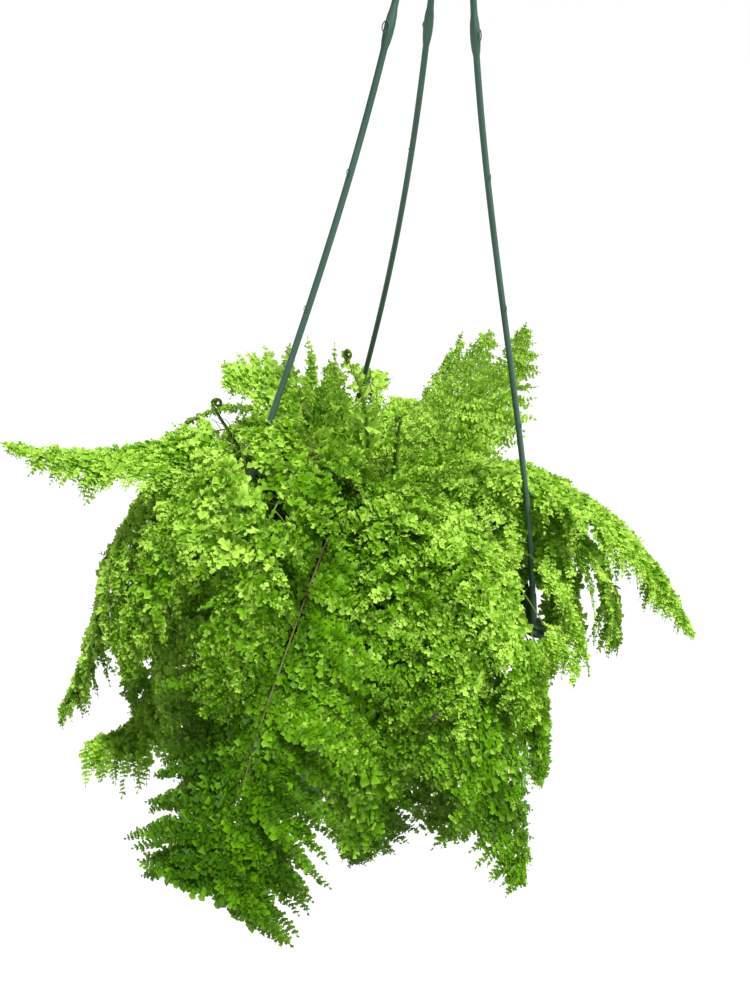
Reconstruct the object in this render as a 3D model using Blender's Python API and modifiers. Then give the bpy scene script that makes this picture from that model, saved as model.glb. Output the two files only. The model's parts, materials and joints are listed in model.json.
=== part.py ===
"""Cotton candy fern in a plastic hanging pot, with its moulded three-arm hanger.

The pot's rim lies in the local plane z = 0. Everything hangs from the inside of the hook, so the
whole model is lowered by HOOK_TO_RIM and the world origin is the point where the hook bears.
"""
import math
import random
from collections import namedtuple

import bmesh
import bpy
from mathutils import Matrix, Vector
from mathutils.bvhtree import BVHTree

MM = 0.001
GAP = 0.3 * MM
SEED = 11

# Hanging pot: ten inch, tapered, with a deep rim band
POT_RADIUS = 127 * MM
POT_HEIGHT = 140 * MM
POT_BASE_RADIUS = 93 * MM
POT_WALL = 1.8 * MM
RIM_BAND = 12 * MM
RIM_STEP = 3.2 * MM
EDGE_ROUND = 0.9 * MM
POT_SIDES = 32
DRAIN_HOLES = 5
DRAIN_RADIUS = 4.5 * MM
DRAIN_CIRCLE = 62 * MM
ROUND_SIDES = 8

# Ears on the rim that take the hanger's three clips
CLIP_CIRCLE = 134 * MM
EAR_RADIUS = 9.5 * MM
EAR_THICKNESS = 3.2 * MM
EAR_HOLE_RADIUS = 2.6 * MM

# Hanger: three arms that curve in to a hub with a hook on top
ARM_AZIMUTHS = (-17.4, 102.6, 222.6)
ARM_BOWS = (9.1 * MM, -12.6 * MM, 6.3 * MM)
ARM_BOW_SPAN = 1.15
ARM_FOOT_RADIUS = 131 * MM
ARM_SPAN = 400 * MM
ARM_CURVE = (-0.656, -0.816, 0.594)
ARM_POINTS = 15
ARM_LOW = 1.9 * MM
ARM_HIGH = 1.55 * MM
PAD_HEIGHT = 350 * MM
PAD_SWELL = 1.4
SLEEVE_RADIUS = 3.1 * MM
SLEEVE_TOP_RADIUS = 2.6 * MM
SLEEVE_HEIGHT = 23 * MM
CLIP_DISC_RADIUS = 5.5 * MM
CLIP_DISC_THICKNESS = 2.2 * MM
CLIP_PIN_RADIUS = 2.25 * MM
CLIP_HEAD_RADIUS = 3.2 * MM
CLIP_HEAD_LENGTH = 4.5 * MM
HUB_HEIGHT = 441 * MM
HUB_RADIUS = 15.5 * MM
HUB_THICKNESS = 9 * MM
HUB_NECK_RADIUS = 4.5 * MM
HOOK_TO_RIM = 505 * MM
HOOK_WIRE = 3.2 * MM
HOOK_RADIUS = 18 * MM
HOOK_FROM = -52.0
HOOK_TO = 208.0
HOOK_POINTS = 13

# Potting soil, and the plain holes that the stems stand in
SOIL_TOP = -14 * MM
SOIL_CROWN = 3 * MM
HOLE_DEPTH = 24 * MM
STEM_SUNK = 22 * MM
STEM_STRAIGHT = 5 * MM
HOLE_SIDES = 4

# Fronds: a square rib with leaflets cut to it, all in one thin blade
STEM_HALF = 0.8 * MM
RIB_HALF_TIP = 0.4 * MM
BLADE_HALF = 0.35 * MM
STEM_STEPS = 2
PATH_STEP = 1 * MM
LEAFLET_SWEEP = 0.34
LEAFLET_MINIMUM = 5 * MM
CLEARANCE = 0.9 * MM
SHORTENING = (1.0, 0.85, 0.7, 0.55, 0.4, 0.28)
TURNS_ASIDE = (0, 2, -2, 4, -4, 6, -6, 8, -8, 11, -11, 14, -14, 17, -17)
BLADE_MINIMUM = 45 * MM
WRAP_RADIUS = 80 * MM

# A young frond's tip is a coil that tightens
COIL_LENGTH = 19 * MM
COIL_OUTER = 3.7 * MM
COIL_INNER = 1.4 * MM
COIL_STATION = 2.1 * MM

# The mound: five nested layers of fronds, from the skirt at level 0 to the top at level 4. Each
# layer leaves the soil, rises to a crest and drops outside the rim, and is wider and higher than
# the one under it. The mound is higher on one side. Values are at level 0, and the step per level.
ROOT_RADIUS = (93 * MM, -16 * MM)
CREST_HEIGHT = (15 * MM, 20 * MM)
CREST_RADIUS = (128 * MM, -10.5 * MM)
REACH_RADIUS = (158 * MM, 11 * MM)
REACH_HEIGHT = (-126 * MM, 14 * MM)
HIGH_SIDE = -150.0
HIGH_SHARE = 0.13

Layer = namedtuple("Layer", "level places length bare width pairs")
LAYERS = (
    Layer(4, (0.13, 0.46, 0.79), 0.90, 0.34, 42 * MM, 11),
    Layer(3, (0.29, 0.62, 0.90), 0.92, 0.34, 42 * MM, 9),
    Layer(2, (0.16, 0.70), 0.94, 0.34, 46 * MM, 8),
    Layer(1, (0.42, 0.88), 0.96, 0.40, 46 * MM, 7),
    Layer(0, (0.15, 0.64), 0.98, 0.40, 44 * MM, 6),
)

Frond = namedtuple("Frond", "name path azimuth sweep start coil width pairs arch lift roll tone")


def clear_scene():
    """Removes the objects that the file opened with."""
    for item in list(bpy.data.objects):
        bpy.data.objects.remove(item, do_unlink=True)


def collection(name):
    """New collection, linked to the scene."""
    group = bpy.data.collections.new(name)
    bpy.context.scene.collection.children.link(group)
    return group


def material(name, color, roughness):
    """Principled material of a part that isn't metal."""
    result = bpy.data.materials.new(name)
    result.use_nodes = True
    shader = result.node_tree.nodes["Principled BSDF"]
    shader.inputs["Base Color"].default_value = (*color, 1.0)
    shader.inputs["Roughness"].default_value = roughness
    shader.inputs["Metallic"].default_value = 0.0
    return result


def add_object(name, data, group):
    """Object with this mesh or curve, in a collection."""
    result = bpy.data.objects.new(name, data)
    group.objects.link(result)
    return result


def add_cutter(name, data, group):
    """Helper shape, drawn as a wire and left out of the model."""
    result = add_object(name, data, group)
    result.hide_render = True
    result.display_type = "WIRE"
    return result


def mesh_from(bm, name):
    """Mesh from a bmesh, with its faces turned outwards."""
    bmesh.ops.recalc_face_normals(bm, faces=bm.faces)
    mesh = bpy.data.meshes.new(name)
    bm.to_mesh(mesh)
    bm.free()
    return mesh


def polar(radius, azimuth, height):
    """Point at a radius from the pot's axis, an azimuth in radians and a height over the rim."""
    return Vector((radius * math.cos(azimuth), radius * math.sin(azimuth), height))


def cylinder_mesh(name, radius, low, high, centre, sides, turn=0.0):
    """Upright cylinder between two heights."""
    bm = bmesh.new()
    bmesh.ops.create_cone(bm, cap_ends=True, segments=sides, radius1=radius, radius2=radius, depth=high - low)
    bmesh.ops.rotate(bm, verts=bm.verts, matrix=Matrix.Rotation(turn, 3, "Z"))
    bmesh.ops.translate(bm, verts=bm.verts, vec=(centre.x, centre.y, (low + high) / 2))
    return mesh_from(bm, name)


def turned(name, profile, group, sides, as_cutter=False):
    """Solid of revolution from a profile of radius and height, outer side top to bottom."""
    mesh = bpy.data.meshes.new(name)
    verts = [(radius, 0.0, height) for radius, height in profile]
    edges = [(index, index + 1) for index in range(len(profile) - 1)]
    mesh.from_pydata(verts, edges, [])
    result = (add_cutter if as_cutter else add_object)(name, mesh, group)
    screw = result.modifiers.new("Turn", "SCREW")
    screw.steps = sides
    screw.render_steps = sides
    screw.use_merge_vertices = True
    screw.merge_threshold = 0.05 * MM
    return result


def tube_mesh(name, points, radii, sides_per_quarter, group):
    """Closed tube through points, each with its own radius, as a mesh."""
    curve = bpy.data.curves.new(name, "CURVE")
    curve.dimensions = "3D"
    curve.bevel_depth = 1.0
    curve.bevel_resolution = sides_per_quarter
    curve.use_fill_caps = True
    spline = curve.splines.new("POLY")
    spline.points.add(len(points) - 1)
    for knot, point, radius in zip(spline.points, points, radii):
        knot.co = (*point, 1.0)
        knot.radius = radius
    holder = add_object(name, curve, group)
    bpy.context.view_layer.update()
    mesh = bpy.data.meshes.new_from_object(holder.evaluated_get(bpy.context.evaluated_depsgraph_get()))
    bm = bmesh.new()
    bm.from_mesh(mesh)
    bmesh.ops.remove_doubles(bm, verts=bm.verts, dist=0.01 * MM)
    bpy.data.objects.remove(holder, do_unlink=True)
    return mesh_from(bm, name)


def join(target, tools):
    """Joins the objects of a collection to a target, applies it and removes them."""
    cut = target.modifiers.new("Join", "BOOLEAN")
    cut.operation = "UNION"
    cut.solver = "EXACT"
    cut.operand_type = "COLLECTION"
    cut.collection = tools
    apply_modifiers(target)
    empty_collection(tools)


def cut_away(target, tools):
    """Cuts the objects of a collection out of a target, applies it and removes them."""
    cut = target.modifiers.new("Cut", "BOOLEAN")
    cut.operation = "DIFFERENCE"
    cut.solver = "EXACT"
    cut.operand_type = "COLLECTION"
    cut.collection = tools
    apply_modifiers(target)
    empty_collection(tools)


def apply_modifiers(target):
    """Replaces an object's mesh by what its modifiers make of it."""
    bpy.context.view_layer.update()
    evaluated = target.evaluated_get(bpy.context.evaluated_depsgraph_get())
    mesh = bpy.data.meshes.new_from_object(evaluated)
    target.modifiers.clear()
    target.data = mesh


def empty_collection(group):
    """Removes a collection's objects."""
    for item in list(group.objects):
        bpy.data.objects.remove(item, do_unlink=True)


def pot_outer_radius(height):
    """Radius of the pot's tapered outside, under the rim band."""
    top = POT_RADIUS - RIM_STEP
    share = (height + POT_HEIGHT) / (POT_HEIGHT - RIM_BAND)
    return POT_BASE_RADIUS + (top - POT_BASE_RADIUS) * share


def build_pot(group, tools):
    """Tapered shell with a rim band, three ears with holes, and drain holes in the floor."""
    floor = -POT_HEIGHT + POT_WALL
    mouth = pot_outer_radius(-RIM_BAND) - POT_WALL
    profile = (
        (0.0, floor),
        (pot_outer_radius(floor) - POT_WALL, floor),
        (mouth, -RIM_BAND),
        (mouth, -EDGE_ROUND),
        (mouth + EDGE_ROUND, 0.0),
        (POT_RADIUS - EDGE_ROUND, 0.0),
        (POT_RADIUS, -EDGE_ROUND),
        (POT_RADIUS, -RIM_BAND),
        (pot_outer_radius(-RIM_BAND), -RIM_BAND - EDGE_ROUND),
        (POT_BASE_RADIUS + EDGE_ROUND, -POT_HEIGHT + 2 * EDGE_ROUND),
        (POT_BASE_RADIUS - EDGE_ROUND, -POT_HEIGHT),
        (0.0, -POT_HEIGHT),
    )
    pot = turned("pot", profile, group, POT_SIDES)
    ears = [polar(CLIP_CIRCLE, math.radians(azimuth), 0.0) for azimuth in ARM_AZIMUTHS]
    for ear in ears:
        mesh = cylinder_mesh("ear", EAR_RADIUS, -EAR_THICKNESS, 0.0, ear, ROUND_SIDES)
        add_cutter("ear", mesh, tools)
    join(pot, tools)
    for ear in ears:
        mesh = cylinder_mesh("ear_hole", EAR_HOLE_RADIUS, -3 * EAR_THICKNESS, EAR_THICKNESS, ear, ROUND_SIDES)
        add_cutter("ear_hole", mesh, tools)
    for index in range(DRAIN_HOLES):
        drain = polar(DRAIN_CIRCLE, 2 * math.pi * index / DRAIN_HOLES, 0.0)
        low = -POT_HEIGHT - POT_WALL
        mesh = cylinder_mesh("drain", DRAIN_RADIUS, low, floor + POT_WALL, drain, ROUND_SIDES)
        add_cutter("drain", mesh, tools)
    cut_away(pot, tools)
    pot.data.materials.append(material("pot_plastic", (0.03, 0.07, 0.04), 0.45))
    return pot


def build_soil(group, tools, stems):
    """Soil that fills the pot, slightly crowned, with a plain hole for each stem."""
    bottom = -POT_HEIGHT + POT_WALL + GAP
    edge = SOIL_TOP
    profile = (
        (0.0, SOIL_TOP + SOIL_CROWN),
        (0.7 * POT_BASE_RADIUS, SOIL_TOP + 0.7 * SOIL_CROWN),
        (pot_outer_radius(edge) - POT_WALL - GAP, edge),
        (pot_outer_radius(bottom) - POT_WALL - GAP, bottom),
        (0.0, bottom),
    )
    soil = turned("soil", profile, group, POT_SIDES)
    apply_modifiers(soil)
    radius = (STEM_HALF + GAP) / math.cos(math.pi / HOLE_SIDES)
    for radial, azimuth in stems:
        place = polar(radial, azimuth, 0.0)
        turn = azimuth + math.pi / HOLE_SIDES
        mesh = cylinder_mesh("hole", radius, SOIL_TOP - HOLE_DEPTH, 0.0, place, HOLE_SIDES, turn)
        add_cutter("hole", mesh, tools)
    cut_away(soil, tools)
    soil.data.materials.append(material("potting_soil", (0.06, 0.04, 0.025), 0.95))
    return soil


def arm_point(index, height):
    """Centre of a hanger arm at a height over the rim."""
    share = height / ARM_SPAN
    linear, square, cube = ARM_CURVE
    radius = ARM_FOOT_RADIUS * (1 + linear * share + square * share ** 2 + cube * share ** 3)
    azimuth = math.radians(ARM_AZIMUTHS[index])
    bow = ARM_BOWS[index] * math.sin(math.pi * share / ARM_BOW_SPAN)
    side = Vector((-math.sin(azimuth), math.cos(azimuth), 0.0))
    return polar(radius, azimuth, height) + side * bow


def build_hanger(group, tools):
    """One moulding: hub, hook, and three arms that end in a sleeve, a disc and a snap pin."""
    low = HUB_HEIGHT - HUB_THICKNESS / 2
    high = HUB_HEIGHT + HUB_THICKNESS / 2
    neck = high + 3 * HUB_NECK_RADIUS
    hub = turned("hanger", (
        (0.0, neck),
        (HUB_NECK_RADIUS, neck),
        (HUB_NECK_RADIUS, high + HUB_NECK_RADIUS),
        (2 * HUB_NECK_RADIUS, high),
        (HUB_RADIUS, high - EDGE_ROUND),
        (HUB_RADIUS, low + EDGE_ROUND),
        (HUB_RADIUS - EDGE_ROUND, low),
        (0.0, low),
    ), group, 2 * ROUND_SIDES)
    for index in range(len(ARM_AZIMUTHS)):
        heights = [SLEEVE_HEIGHT / 2 + (HUB_HEIGHT - SLEEVE_HEIGHT / 2) * step / (ARM_POINTS - 1)
                   for step in range(ARM_POINTS)]
        points = [arm_point(index, height) for height in heights]
        radii = [arm_thickness(height) for height in heights]
        add_cutter("arm", tube_mesh("arm", points, radii, 1, tools), tools)
        foot = arm_point(index, 0.5 * CLIP_DISC_THICKNESS)
        shoulder = arm_point(index, SLEEVE_HEIGHT)
        inside = arm_point(index, SLEEVE_HEIGHT + SLEEVE_RADIUS)
        sleeve = tube_mesh("sleeve", (foot, shoulder, inside),
                           (SLEEVE_RADIUS, SLEEVE_TOP_RADIUS, 0.8 * ARM_LOW), 2, tools)
        add_cutter("sleeve", sleeve, tools)
        clip = build_clip(tools)
        clip.location = polar(CLIP_CIRCLE, math.radians(ARM_AZIMUTHS[index]), 0.0)
    loop = Vector((0.0, 0.0, HOOK_TO_RIM - HOOK_RADIUS + HOOK_WIRE))
    hook = [Vector((0.0, 0.0, high + HUB_NECK_RADIUS)), Vector((0.0, 0.0, neck))]
    for step in range(HOOK_POINTS):
        angle = math.radians(HOOK_FROM + (HOOK_TO - HOOK_FROM) * step / (HOOK_POINTS - 1))
        hook.append(loop + Vector((math.cos(angle), 0.0, math.sin(angle))) * HOOK_RADIUS)
    add_cutter("hook", tube_mesh("hook", hook, [HOOK_WIRE] * len(hook), 2, tools), tools)
    join(hub, tools)
    hub.data.materials.append(material("hanger_plastic", (0.05, 0.11, 0.07), 0.38))
    return hub


def arm_thickness(height):
    """Radius of an arm, thinner towards the hub, with a moulded pad near its top."""
    share = height / HUB_HEIGHT
    radius = ARM_LOW + (ARM_HIGH - ARM_LOW) * share
    step = (HUB_HEIGHT - SLEEVE_HEIGHT / 2) / (ARM_POINTS - 1)
    if abs(height - PAD_HEIGHT) < step / 2:
        radius *= PAD_SWELL
    return radius


def build_clip(tools):
    """Disc that bears on an ear, and the snap pin through the ear's hole."""
    under = -EAR_THICKNESS - GAP
    return turned("clip", (
        (0.0, GAP + CLIP_DISC_THICKNESS),
        (0.8 * CLIP_DISC_RADIUS, GAP + CLIP_DISC_THICKNESS),
        (CLIP_DISC_RADIUS, GAP + 0.6 * CLIP_DISC_THICKNESS),
        (CLIP_DISC_RADIUS, GAP),
        (CLIP_PIN_RADIUS, GAP),
        (CLIP_PIN_RADIUS, under),
        (CLIP_HEAD_RADIUS, under),
        (0.5 * CLIP_HEAD_RADIUS, under - CLIP_HEAD_LENGTH),
        (0.0, under - CLIP_HEAD_LENGTH),
    ), tools, ROUND_SIDES, as_cutter=True)


def layer_path(level, length, azimuth):
    """Rib of a layered frond: radius and height from the root to the tip."""
    root, crest_height, crest_radius, reach, low = (
        first + step * level for first, step in
        (ROOT_RADIUS, CREST_HEIGHT, CREST_RADIUS, REACH_RADIUS, REACH_HEIGHT))
    crest_height *= 1 + HIGH_SHARE * math.cos(azimuth - math.radians(HIGH_SIDE)) * level / 4
    clear = SOIL_TOP + STEM_STRAIGHT
    quarter = [math.pi / 2 * step / 20 for step in range(21)]
    inner = [(crest_radius - (crest_radius - root) * math.cos(angle),
              clear + (crest_height - clear) * math.sin(angle)) for angle in quarter]
    outer = [(crest_radius + (reach - crest_radius) * math.sin(angle),
              low + (crest_height - low) * math.cos(angle)) for angle in quarter]
    whole = even_path([(root, SOIL_TOP - STEM_SUNK)] + inner + outer)
    return whole[:round(length * len(whole))]


def smooth_path(root, knots):
    """Rib through knots given as radius and height, on a straight stem at the root's radius."""
    heights = (SOIL_TOP - STEM_SUNK, SOIL_TOP - STEM_SUNK / 2, SOIL_TOP + STEM_STRAIGHT)
    knots = [Vector((root, height)) for height in heights] + [Vector(knot) for knot in knots]
    ends = [2 * knots[0] - knots[1]] + knots + [2 * knots[-1] - knots[-2]]
    fine = []
    for before, start, end, after in zip(ends, ends[1:], ends[2:], ends[3:]):
        for step in range(10):
            fine.append(catmull_rom(before, start, end, after, step / 10))
    return even_path([(point.x, point.y) for point in fine + [knots[-1]]])


def catmull_rom(before, start, end, after, share):
    """Point between two knots of a Catmull-Rom curve."""
    square = share * share
    cube = square * share
    return 0.5 * (2 * start + (end - before) * share
                  + (2 * before - 5 * start + 4 * end - after) * square
                  + (3 * start - before - 3 * end + after) * cube)


def even_path(points):
    """The same line, read at even steps of its length."""
    result = [Vector(points[0])]
    for point in points[1:]:
        point = Vector(point)
        while (point - result[-1]).length >= PATH_STEP:
            result.append(result[-1] + (point - result[-1]).normalized() * PATH_STEP)
    return result


def coil_up(path):
    """Adds the coil of a young frond to its rib."""
    heading = math.atan2(path[-1].y - path[-4].y, path[-1].x - path[-4].x)
    for step in range(round(COIL_LENGTH / PATH_STEP)):
        radius = COIL_OUTER + (COIL_INNER - COIL_OUTER) * step * PATH_STEP / COIL_LENGTH
        heading += PATH_STEP / radius
        path.append(path[-1] + Vector((math.cos(heading), math.sin(heading))) * PATH_STEP)
    return path


class Rib:
    """A frond's rib in space, read at any distance from its root."""

    def __init__(self, frond):
        self.frond = frond
        self.length = (len(frond.path) - 1) * PATH_STEP

    def stations(self):
        """Distances of the rib's rings: the straight stem, the leaflets' notches and the coil."""
        frond = self.frond
        out = STEM_SUNK + STEM_STRAIGHT
        tip = self.length - frond.coil
        coil = round(frond.coil / COIL_STATION)
        stem = [0.0] + [out + (frond.start - out) * step / STEM_STEPS for step in range(STEM_STEPS)]
        blade = [frond.start + (tip - frond.start) * step / frond.pairs for step in range(frond.pairs + 1)]
        return stem, blade, [tip + frond.coil * (step + 1) / coil for step in range(coil)]

    def place(self, distance):
        """Point of the rib, and the azimuth there."""
        index = min(max(distance / PATH_STEP, 0.0), len(self.frond.path) - 1.001)
        low = int(index)
        flat = self.frond.path[low].lerp(self.frond.path[low + 1], index - low)
        azimuth = self.frond.azimuth + self.frond.sweep * (distance / self.length) ** 2
        return polar(flat.x, azimuth, flat.y), azimuth

    def frame(self, distance):
        """Point, sideways, upwards and azimuth at a distance along the rib."""
        point, azimuth = self.place(distance)
        ahead, _ = self.place(min(distance + PATH_STEP, self.length))
        back, _ = self.place(max(distance - PATH_STEP, 0.0))
        along = (ahead - back).normalized()
        side = Vector((-math.sin(azimuth), math.cos(azimuth), 0.0))
        side = (side - along * side.dot(along)).normalized()
        upward = along.cross(side)
        turn = Matrix.Rotation(self.frond.roll * distance / self.length, 3, along)
        return point, turn @ side, turn @ upward, azimuth

    def surface(self, distance, across, lift):
        """Point of the blade beside the rib, wrapped round the mound, and its upward direction."""
        point, side, upward, azimuth = self.frame(min(distance, self.length))
        beyond = max(distance - self.length, 0.0)
        inward = Vector((-math.cos(azimuth), -math.sin(azimuth), 0.0))
        wrap = across * across / (2 * max(math.hypot(point.x, point.y), WRAP_RADIUS))
        arch = self.frond.arch * across * across / self.frond.width
        flat = point + side * across + side.cross(upward) * beyond
        return flat + inward * wrap + upward * (lift - arch), upward


def blade_width(frond, share):
    """Half width of the blade at a share of its length: narrow base, long taper to the tip."""
    rise = 0.55 + 0.45 * min(1.0, share / 0.25)
    fall = 1 - 0.82 * share ** 2.4
    return frond.width * rise * fall


def settle(frond, solids):
    """The frond turned aside a little, or cut short, so that its rib meets no earlier solid.

    None where other fronds already fill its place.
    """
    best, longest = frond, 0.0
    for degrees in TURNS_ASIDE:
        trial = frond._replace(azimuth=frond.azimuth + math.radians(degrees))
        clear = clear_length(Rib(trial), solids)
        if clear > longest + PATH_STEP:
            best, longest = trial, clear
    if longest < frond.start + BLADE_MINIMUM:
        return None
    return best._replace(path=best.path[:round(longest / PATH_STEP) + 1])


def clear_length(rib, solids):
    """Distance that the rib goes from its root before it comes near an earlier solid."""
    stem, blade, coil = rib.stations()
    stations = stem + blade + coil
    for near, far in zip(stations, stations[1:]):
        start, end = rib.place(near)[0], rib.place(far)[0]
        steps = max(2, round((far - near) / (2 * PATH_STEP)))
        for step in range(steps + 1):
            if not is_clear(solids, start.lerp(end, step / steps)):
                return near
    return rib.length


def is_clear(solids, point):
    """True where no earlier solid comes near a point of a rib."""
    return solids.find_nearest(point, CLEARANCE + 1.5 * STEM_HALF)[0] is None


def build_frond(frond, group, tones, solids):
    """One closed blade: square rib, leaflets cut to it on both sides, stem in the soil."""
    rib = Rib(frond)
    stem, blade, coil = rib.stations()
    stations = stem + blade + coil
    pitch = blade[1] - blade[0]
    bm = bmesh.new()
    rings = []
    for distance in stations:
        share = max(0.0, distance - frond.start) / (rib.length - frond.start)
        half = STEM_HALF + (RIB_HALF_TIP - STEM_HALF) * share
        point, side, upward, _ = rib.frame(distance)
        corners = ((-1, 1), (1, 1), (1, -1), (-1, -1))
        rings.append([bm.verts.new(point + side * half * x + upward * half * y) for x, y in corners])
    bm.faces.new(rings[0])
    bm.faces.new(reversed(rings[-1]))
    for index, (near, far) in enumerate(zip(rings, rings[1:])):
        bm.faces.new((near[0], near[1], far[1], far[0]))
        bm.faces.new((near[3], near[2], far[2], far[3]))
        pair = index - len(stem)
        for hand, top, under in ((1, 1, 2), (-1, 0, 3)):
            root = (near[top], far[top], far[under], near[under])
            outline = None
            if 0 <= pair < frond.pairs:
                outline = leaflet_outline(rib, stations[index], pitch, pair, hand, solids)
            if outline is None:
                bm.faces.new(root)
            else:
                add_leaflet(bm, root, outline)
    result = add_object(frond.name, mesh_from(bm, frond.name), group)
    result.data.materials.append(tones[frond.tone])
    return result


def leaflet_outline(rib, start, pitch, pair, hand, solids):
    """Shoulder and tip of a leaflet, shortened until it is clear of what stands round it."""
    frond = rib.frond
    width = blade_width(frond, (pair + 0.5) / frond.pairs)
    lift = frond.lift * (1 if (pair + (hand > 0)) % 2 else -1)
    near, upward = rib.surface(start, 0.0, 0.0)
    far, _ = rib.surface(start + pitch, 0.0, 0.0)
    for factor in SHORTENING:
        across = width * factor
        if across < LEAFLET_MINIMUM:
            return None
        forward = LEAFLET_SWEEP * across
        shoulder = rib.surface(start - 0.05 * pitch + 0.6 * forward, hand * 0.6 * across, 0.6 * lift)
        tip = rib.surface(start + 0.6 * pitch + forward, hand * across, lift)
        if leaflet_clear(solids, (near, shoulder[0], tip[0], far), upward):
            return shoulder, tip
    return None


def leaflet_clear(solids, corners, upward):
    """True where a leaflet, and the same leaflet a little above and below, meets nothing."""
    margin = CLEARANCE + BLADE_HALF
    verts, faces = [], []
    for offset in (-margin, -margin / 2, 0.0, margin / 2, margin):
        first = len(verts)
        verts.extend(corner + upward * offset for corner in corners)
        faces.extend(((first, first + 1, first + 3), (first + 1, first + 2, first + 3)))
    if solids.overlap(BVHTree.FromPolygons(verts, faces)):
        return False
    return all(solids.find_nearest(corner, margin)[0] is None for corner in corners[1:3])


def add_leaflet(bm, root, outline):
    """Thin lobe on the side of the rib, its two faces split alike."""
    near_top, far_top, far_under, near_under = root
    tops, unders = [], []
    for point, upward in outline:
        tops.append(bm.verts.new(point + upward * BLADE_HALF))
        unders.append(bm.verts.new(point - upward * BLADE_HALF))
    for near, far, (shoulder, tip) in ((near_top, far_top, tops), (near_under, far_under, unders)):
        bm.faces.new((near, shoulder, far))
        bm.faces.new((shoulder, tip, far))
    bm.faces.new((near_top, near_under, unders[0], tops[0]))
    bm.faces.new((tops[0], unders[0], unders[1], tops[1]))
    bm.faces.new((tops[1], unders[1], far_under, far_top))


def placed_fronds():
    """The fronds that stand out of the mound, one by one, in mm and degrees.

    Each has its azimuth, its root's radius, then the radius and height of points along its rib, and
    the half width of its blade with the pairs of leaflets on it. start is the length of bare stem.
    """

    def frond(name, azimuth, root, knots, width, pairs, start=110, sweep=0, arch=0.1, lift=2.0, tone=0,
              coiled=False):
        path = smooth_path(root * MM, [(radius * MM, height * MM) for radius, height in knots])
        if coiled:
            path = coil_up(path)
        coil = COIL_LENGTH if coiled else 0.0
        return Frond("frond_" + name, path, math.radians(azimuth), math.radians(sweep), start * MM, coil,
                     width * MM, pairs, arch, lift * MM, 0.0, tone)

    return [
        frond("left", -163, 12, ((20, 50), (46, 104), (90, 122), (146, 108), (180, 106), (205, 110),
                                 (230, 116)), 26, 16, start=120, tone=1),
        frond("right", -3, 16, ((28, 50), (60, 96), (98, 106), (133, 94), (163, 78), (196, 52),
                                (222, 24), (248, -10)), 34, 15),
        frond("front_left", -103, 14, ((24, 45), (50, 86), (80, 92), (112, 76), (145, 52), (182, 20),
                                       (208, -20), (224, -44), (233, -60)), 46, 16, sweep=-2),
        frond("front_right", -59, 60, ((78, 28), (110, 50), (140, 44), (160, 24), (190, -12),
                                       (212, -44), (226, -70)), 38, 13, start=80),
        frond("back", 94, 15, ((30, 60), (62, 104), (100, 110), (142, 88), (178, 40), (196, -14)), 34,
              13),
        frond("back_right_a", 62, 10, ((20, 50), (54, 92), (90, 116), (108, 136), (118, 152)), 15, 10,
              tone=1, arch=0.0),
        frond("back_right_b", 47, 20, ((30, 40), (56, 86), (78, 120), (92, 146), (100, 168)), 34, 12,
              start=80, tone=1, arch=0.0),
        frond("back_right_c", 36, 26, ((40, 40), (70, 90), (96, 122), (110, 150), (117, 177)), 26, 11,
              start=80, tone=1, arch=0.0),
        frond("young", 166, 8, ((20, 30), (33, 61), (48, 110), (62, 150)), 11, 8, start=90, tone=2,
              arch=0.0, lift=1.0),
        frond("curled", 140, 4, ((5, 60), (6, 106), (17, 140), (34, 158)), 8, 8, start=90, tone=2,
              arch=0.0, lift=1.0, coiled=True),
        frond("furled", 60, 14, ((22, 30), (29, 65), (28, 98), (29, 118)), 7, 6, start=80, tone=2,
              arch=0.0, lift=0.8, coiled=True),
        frond("fiddlehead", -172, 30, ((40, 12), (54, 35), (82, 84), (107, 128)), 6, 3, start=110,
              tone=2, arch=0.0, lift=0.8, coiled=True),
        frond("top_left", -170, 20, ((26, 60), (36, 108), (54, 138), (76, 148), (98, 152)), 26, 11,
              start=90, tone=1, arch=0.0),
        frond("top_upright", 176, 9, ((13, 60), (24, 120), (34, 164)), 15, 10, start=100, tone=1,
              arch=0.0),
        frond("left_high", -144, 17, ((22, 60), (42, 118), (80, 146), (124, 138), (162, 108), (186, 66),
                                      (197, 26)), 36, 14, tone=1),
        frond("front_high", -125, 22, ((30, 60), (52, 114), (84, 140), (122, 138), (156, 112),
                                       (180, 72), (192, 30)), 36, 14, tone=1),
        frond("low_left", -162, 18, ((32, 50), (66, 92), (110, 100), (150, 74), (174, 34), (186, -14),
                                     (200, -60), (216, -100)), 34, 14, start=130),
        frond("rim_right", -42, 40, ((56, 34), (92, 70), (128, 70), (158, 52), (182, 40)), 28, 12,
              start=80),
        frond("skirt_left", -147, 92, ((112, 10), (134, 12), (150, -22), (160, -62), (178, -88),
                                       (204, -90)), 34, 9, start=60),
        frond("skirt_front", -84, 90, ((112, 11), (136, 12), (151, -30), (156, -80), (158, -126)), 38,
              9, start=60),
        frond("crown_front", -76, 10, ((15, 50), (32, 94), (60, 110), (90, 102), (118, 80), (140, 48),
                                       (154, 10), (160, -22)), 38, 12, start=70),
        frond("crown_right", -36, 11, ((18, 40), (40, 80), (68, 90), (94, 76), (108, 54)), 30, 7,
              start=60),
        frond("crown_back", 14, 12, ((20, 45), (42, 86), (70, 96), (96, 82), (112, 58)), 30, 7,
              start=60),
        frond("crown_left", 128, 12, ((20, 45), (42, 90), (70, 104), (96, 92), (112, 66)), 30, 7,
              start=60),
    ]


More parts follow.
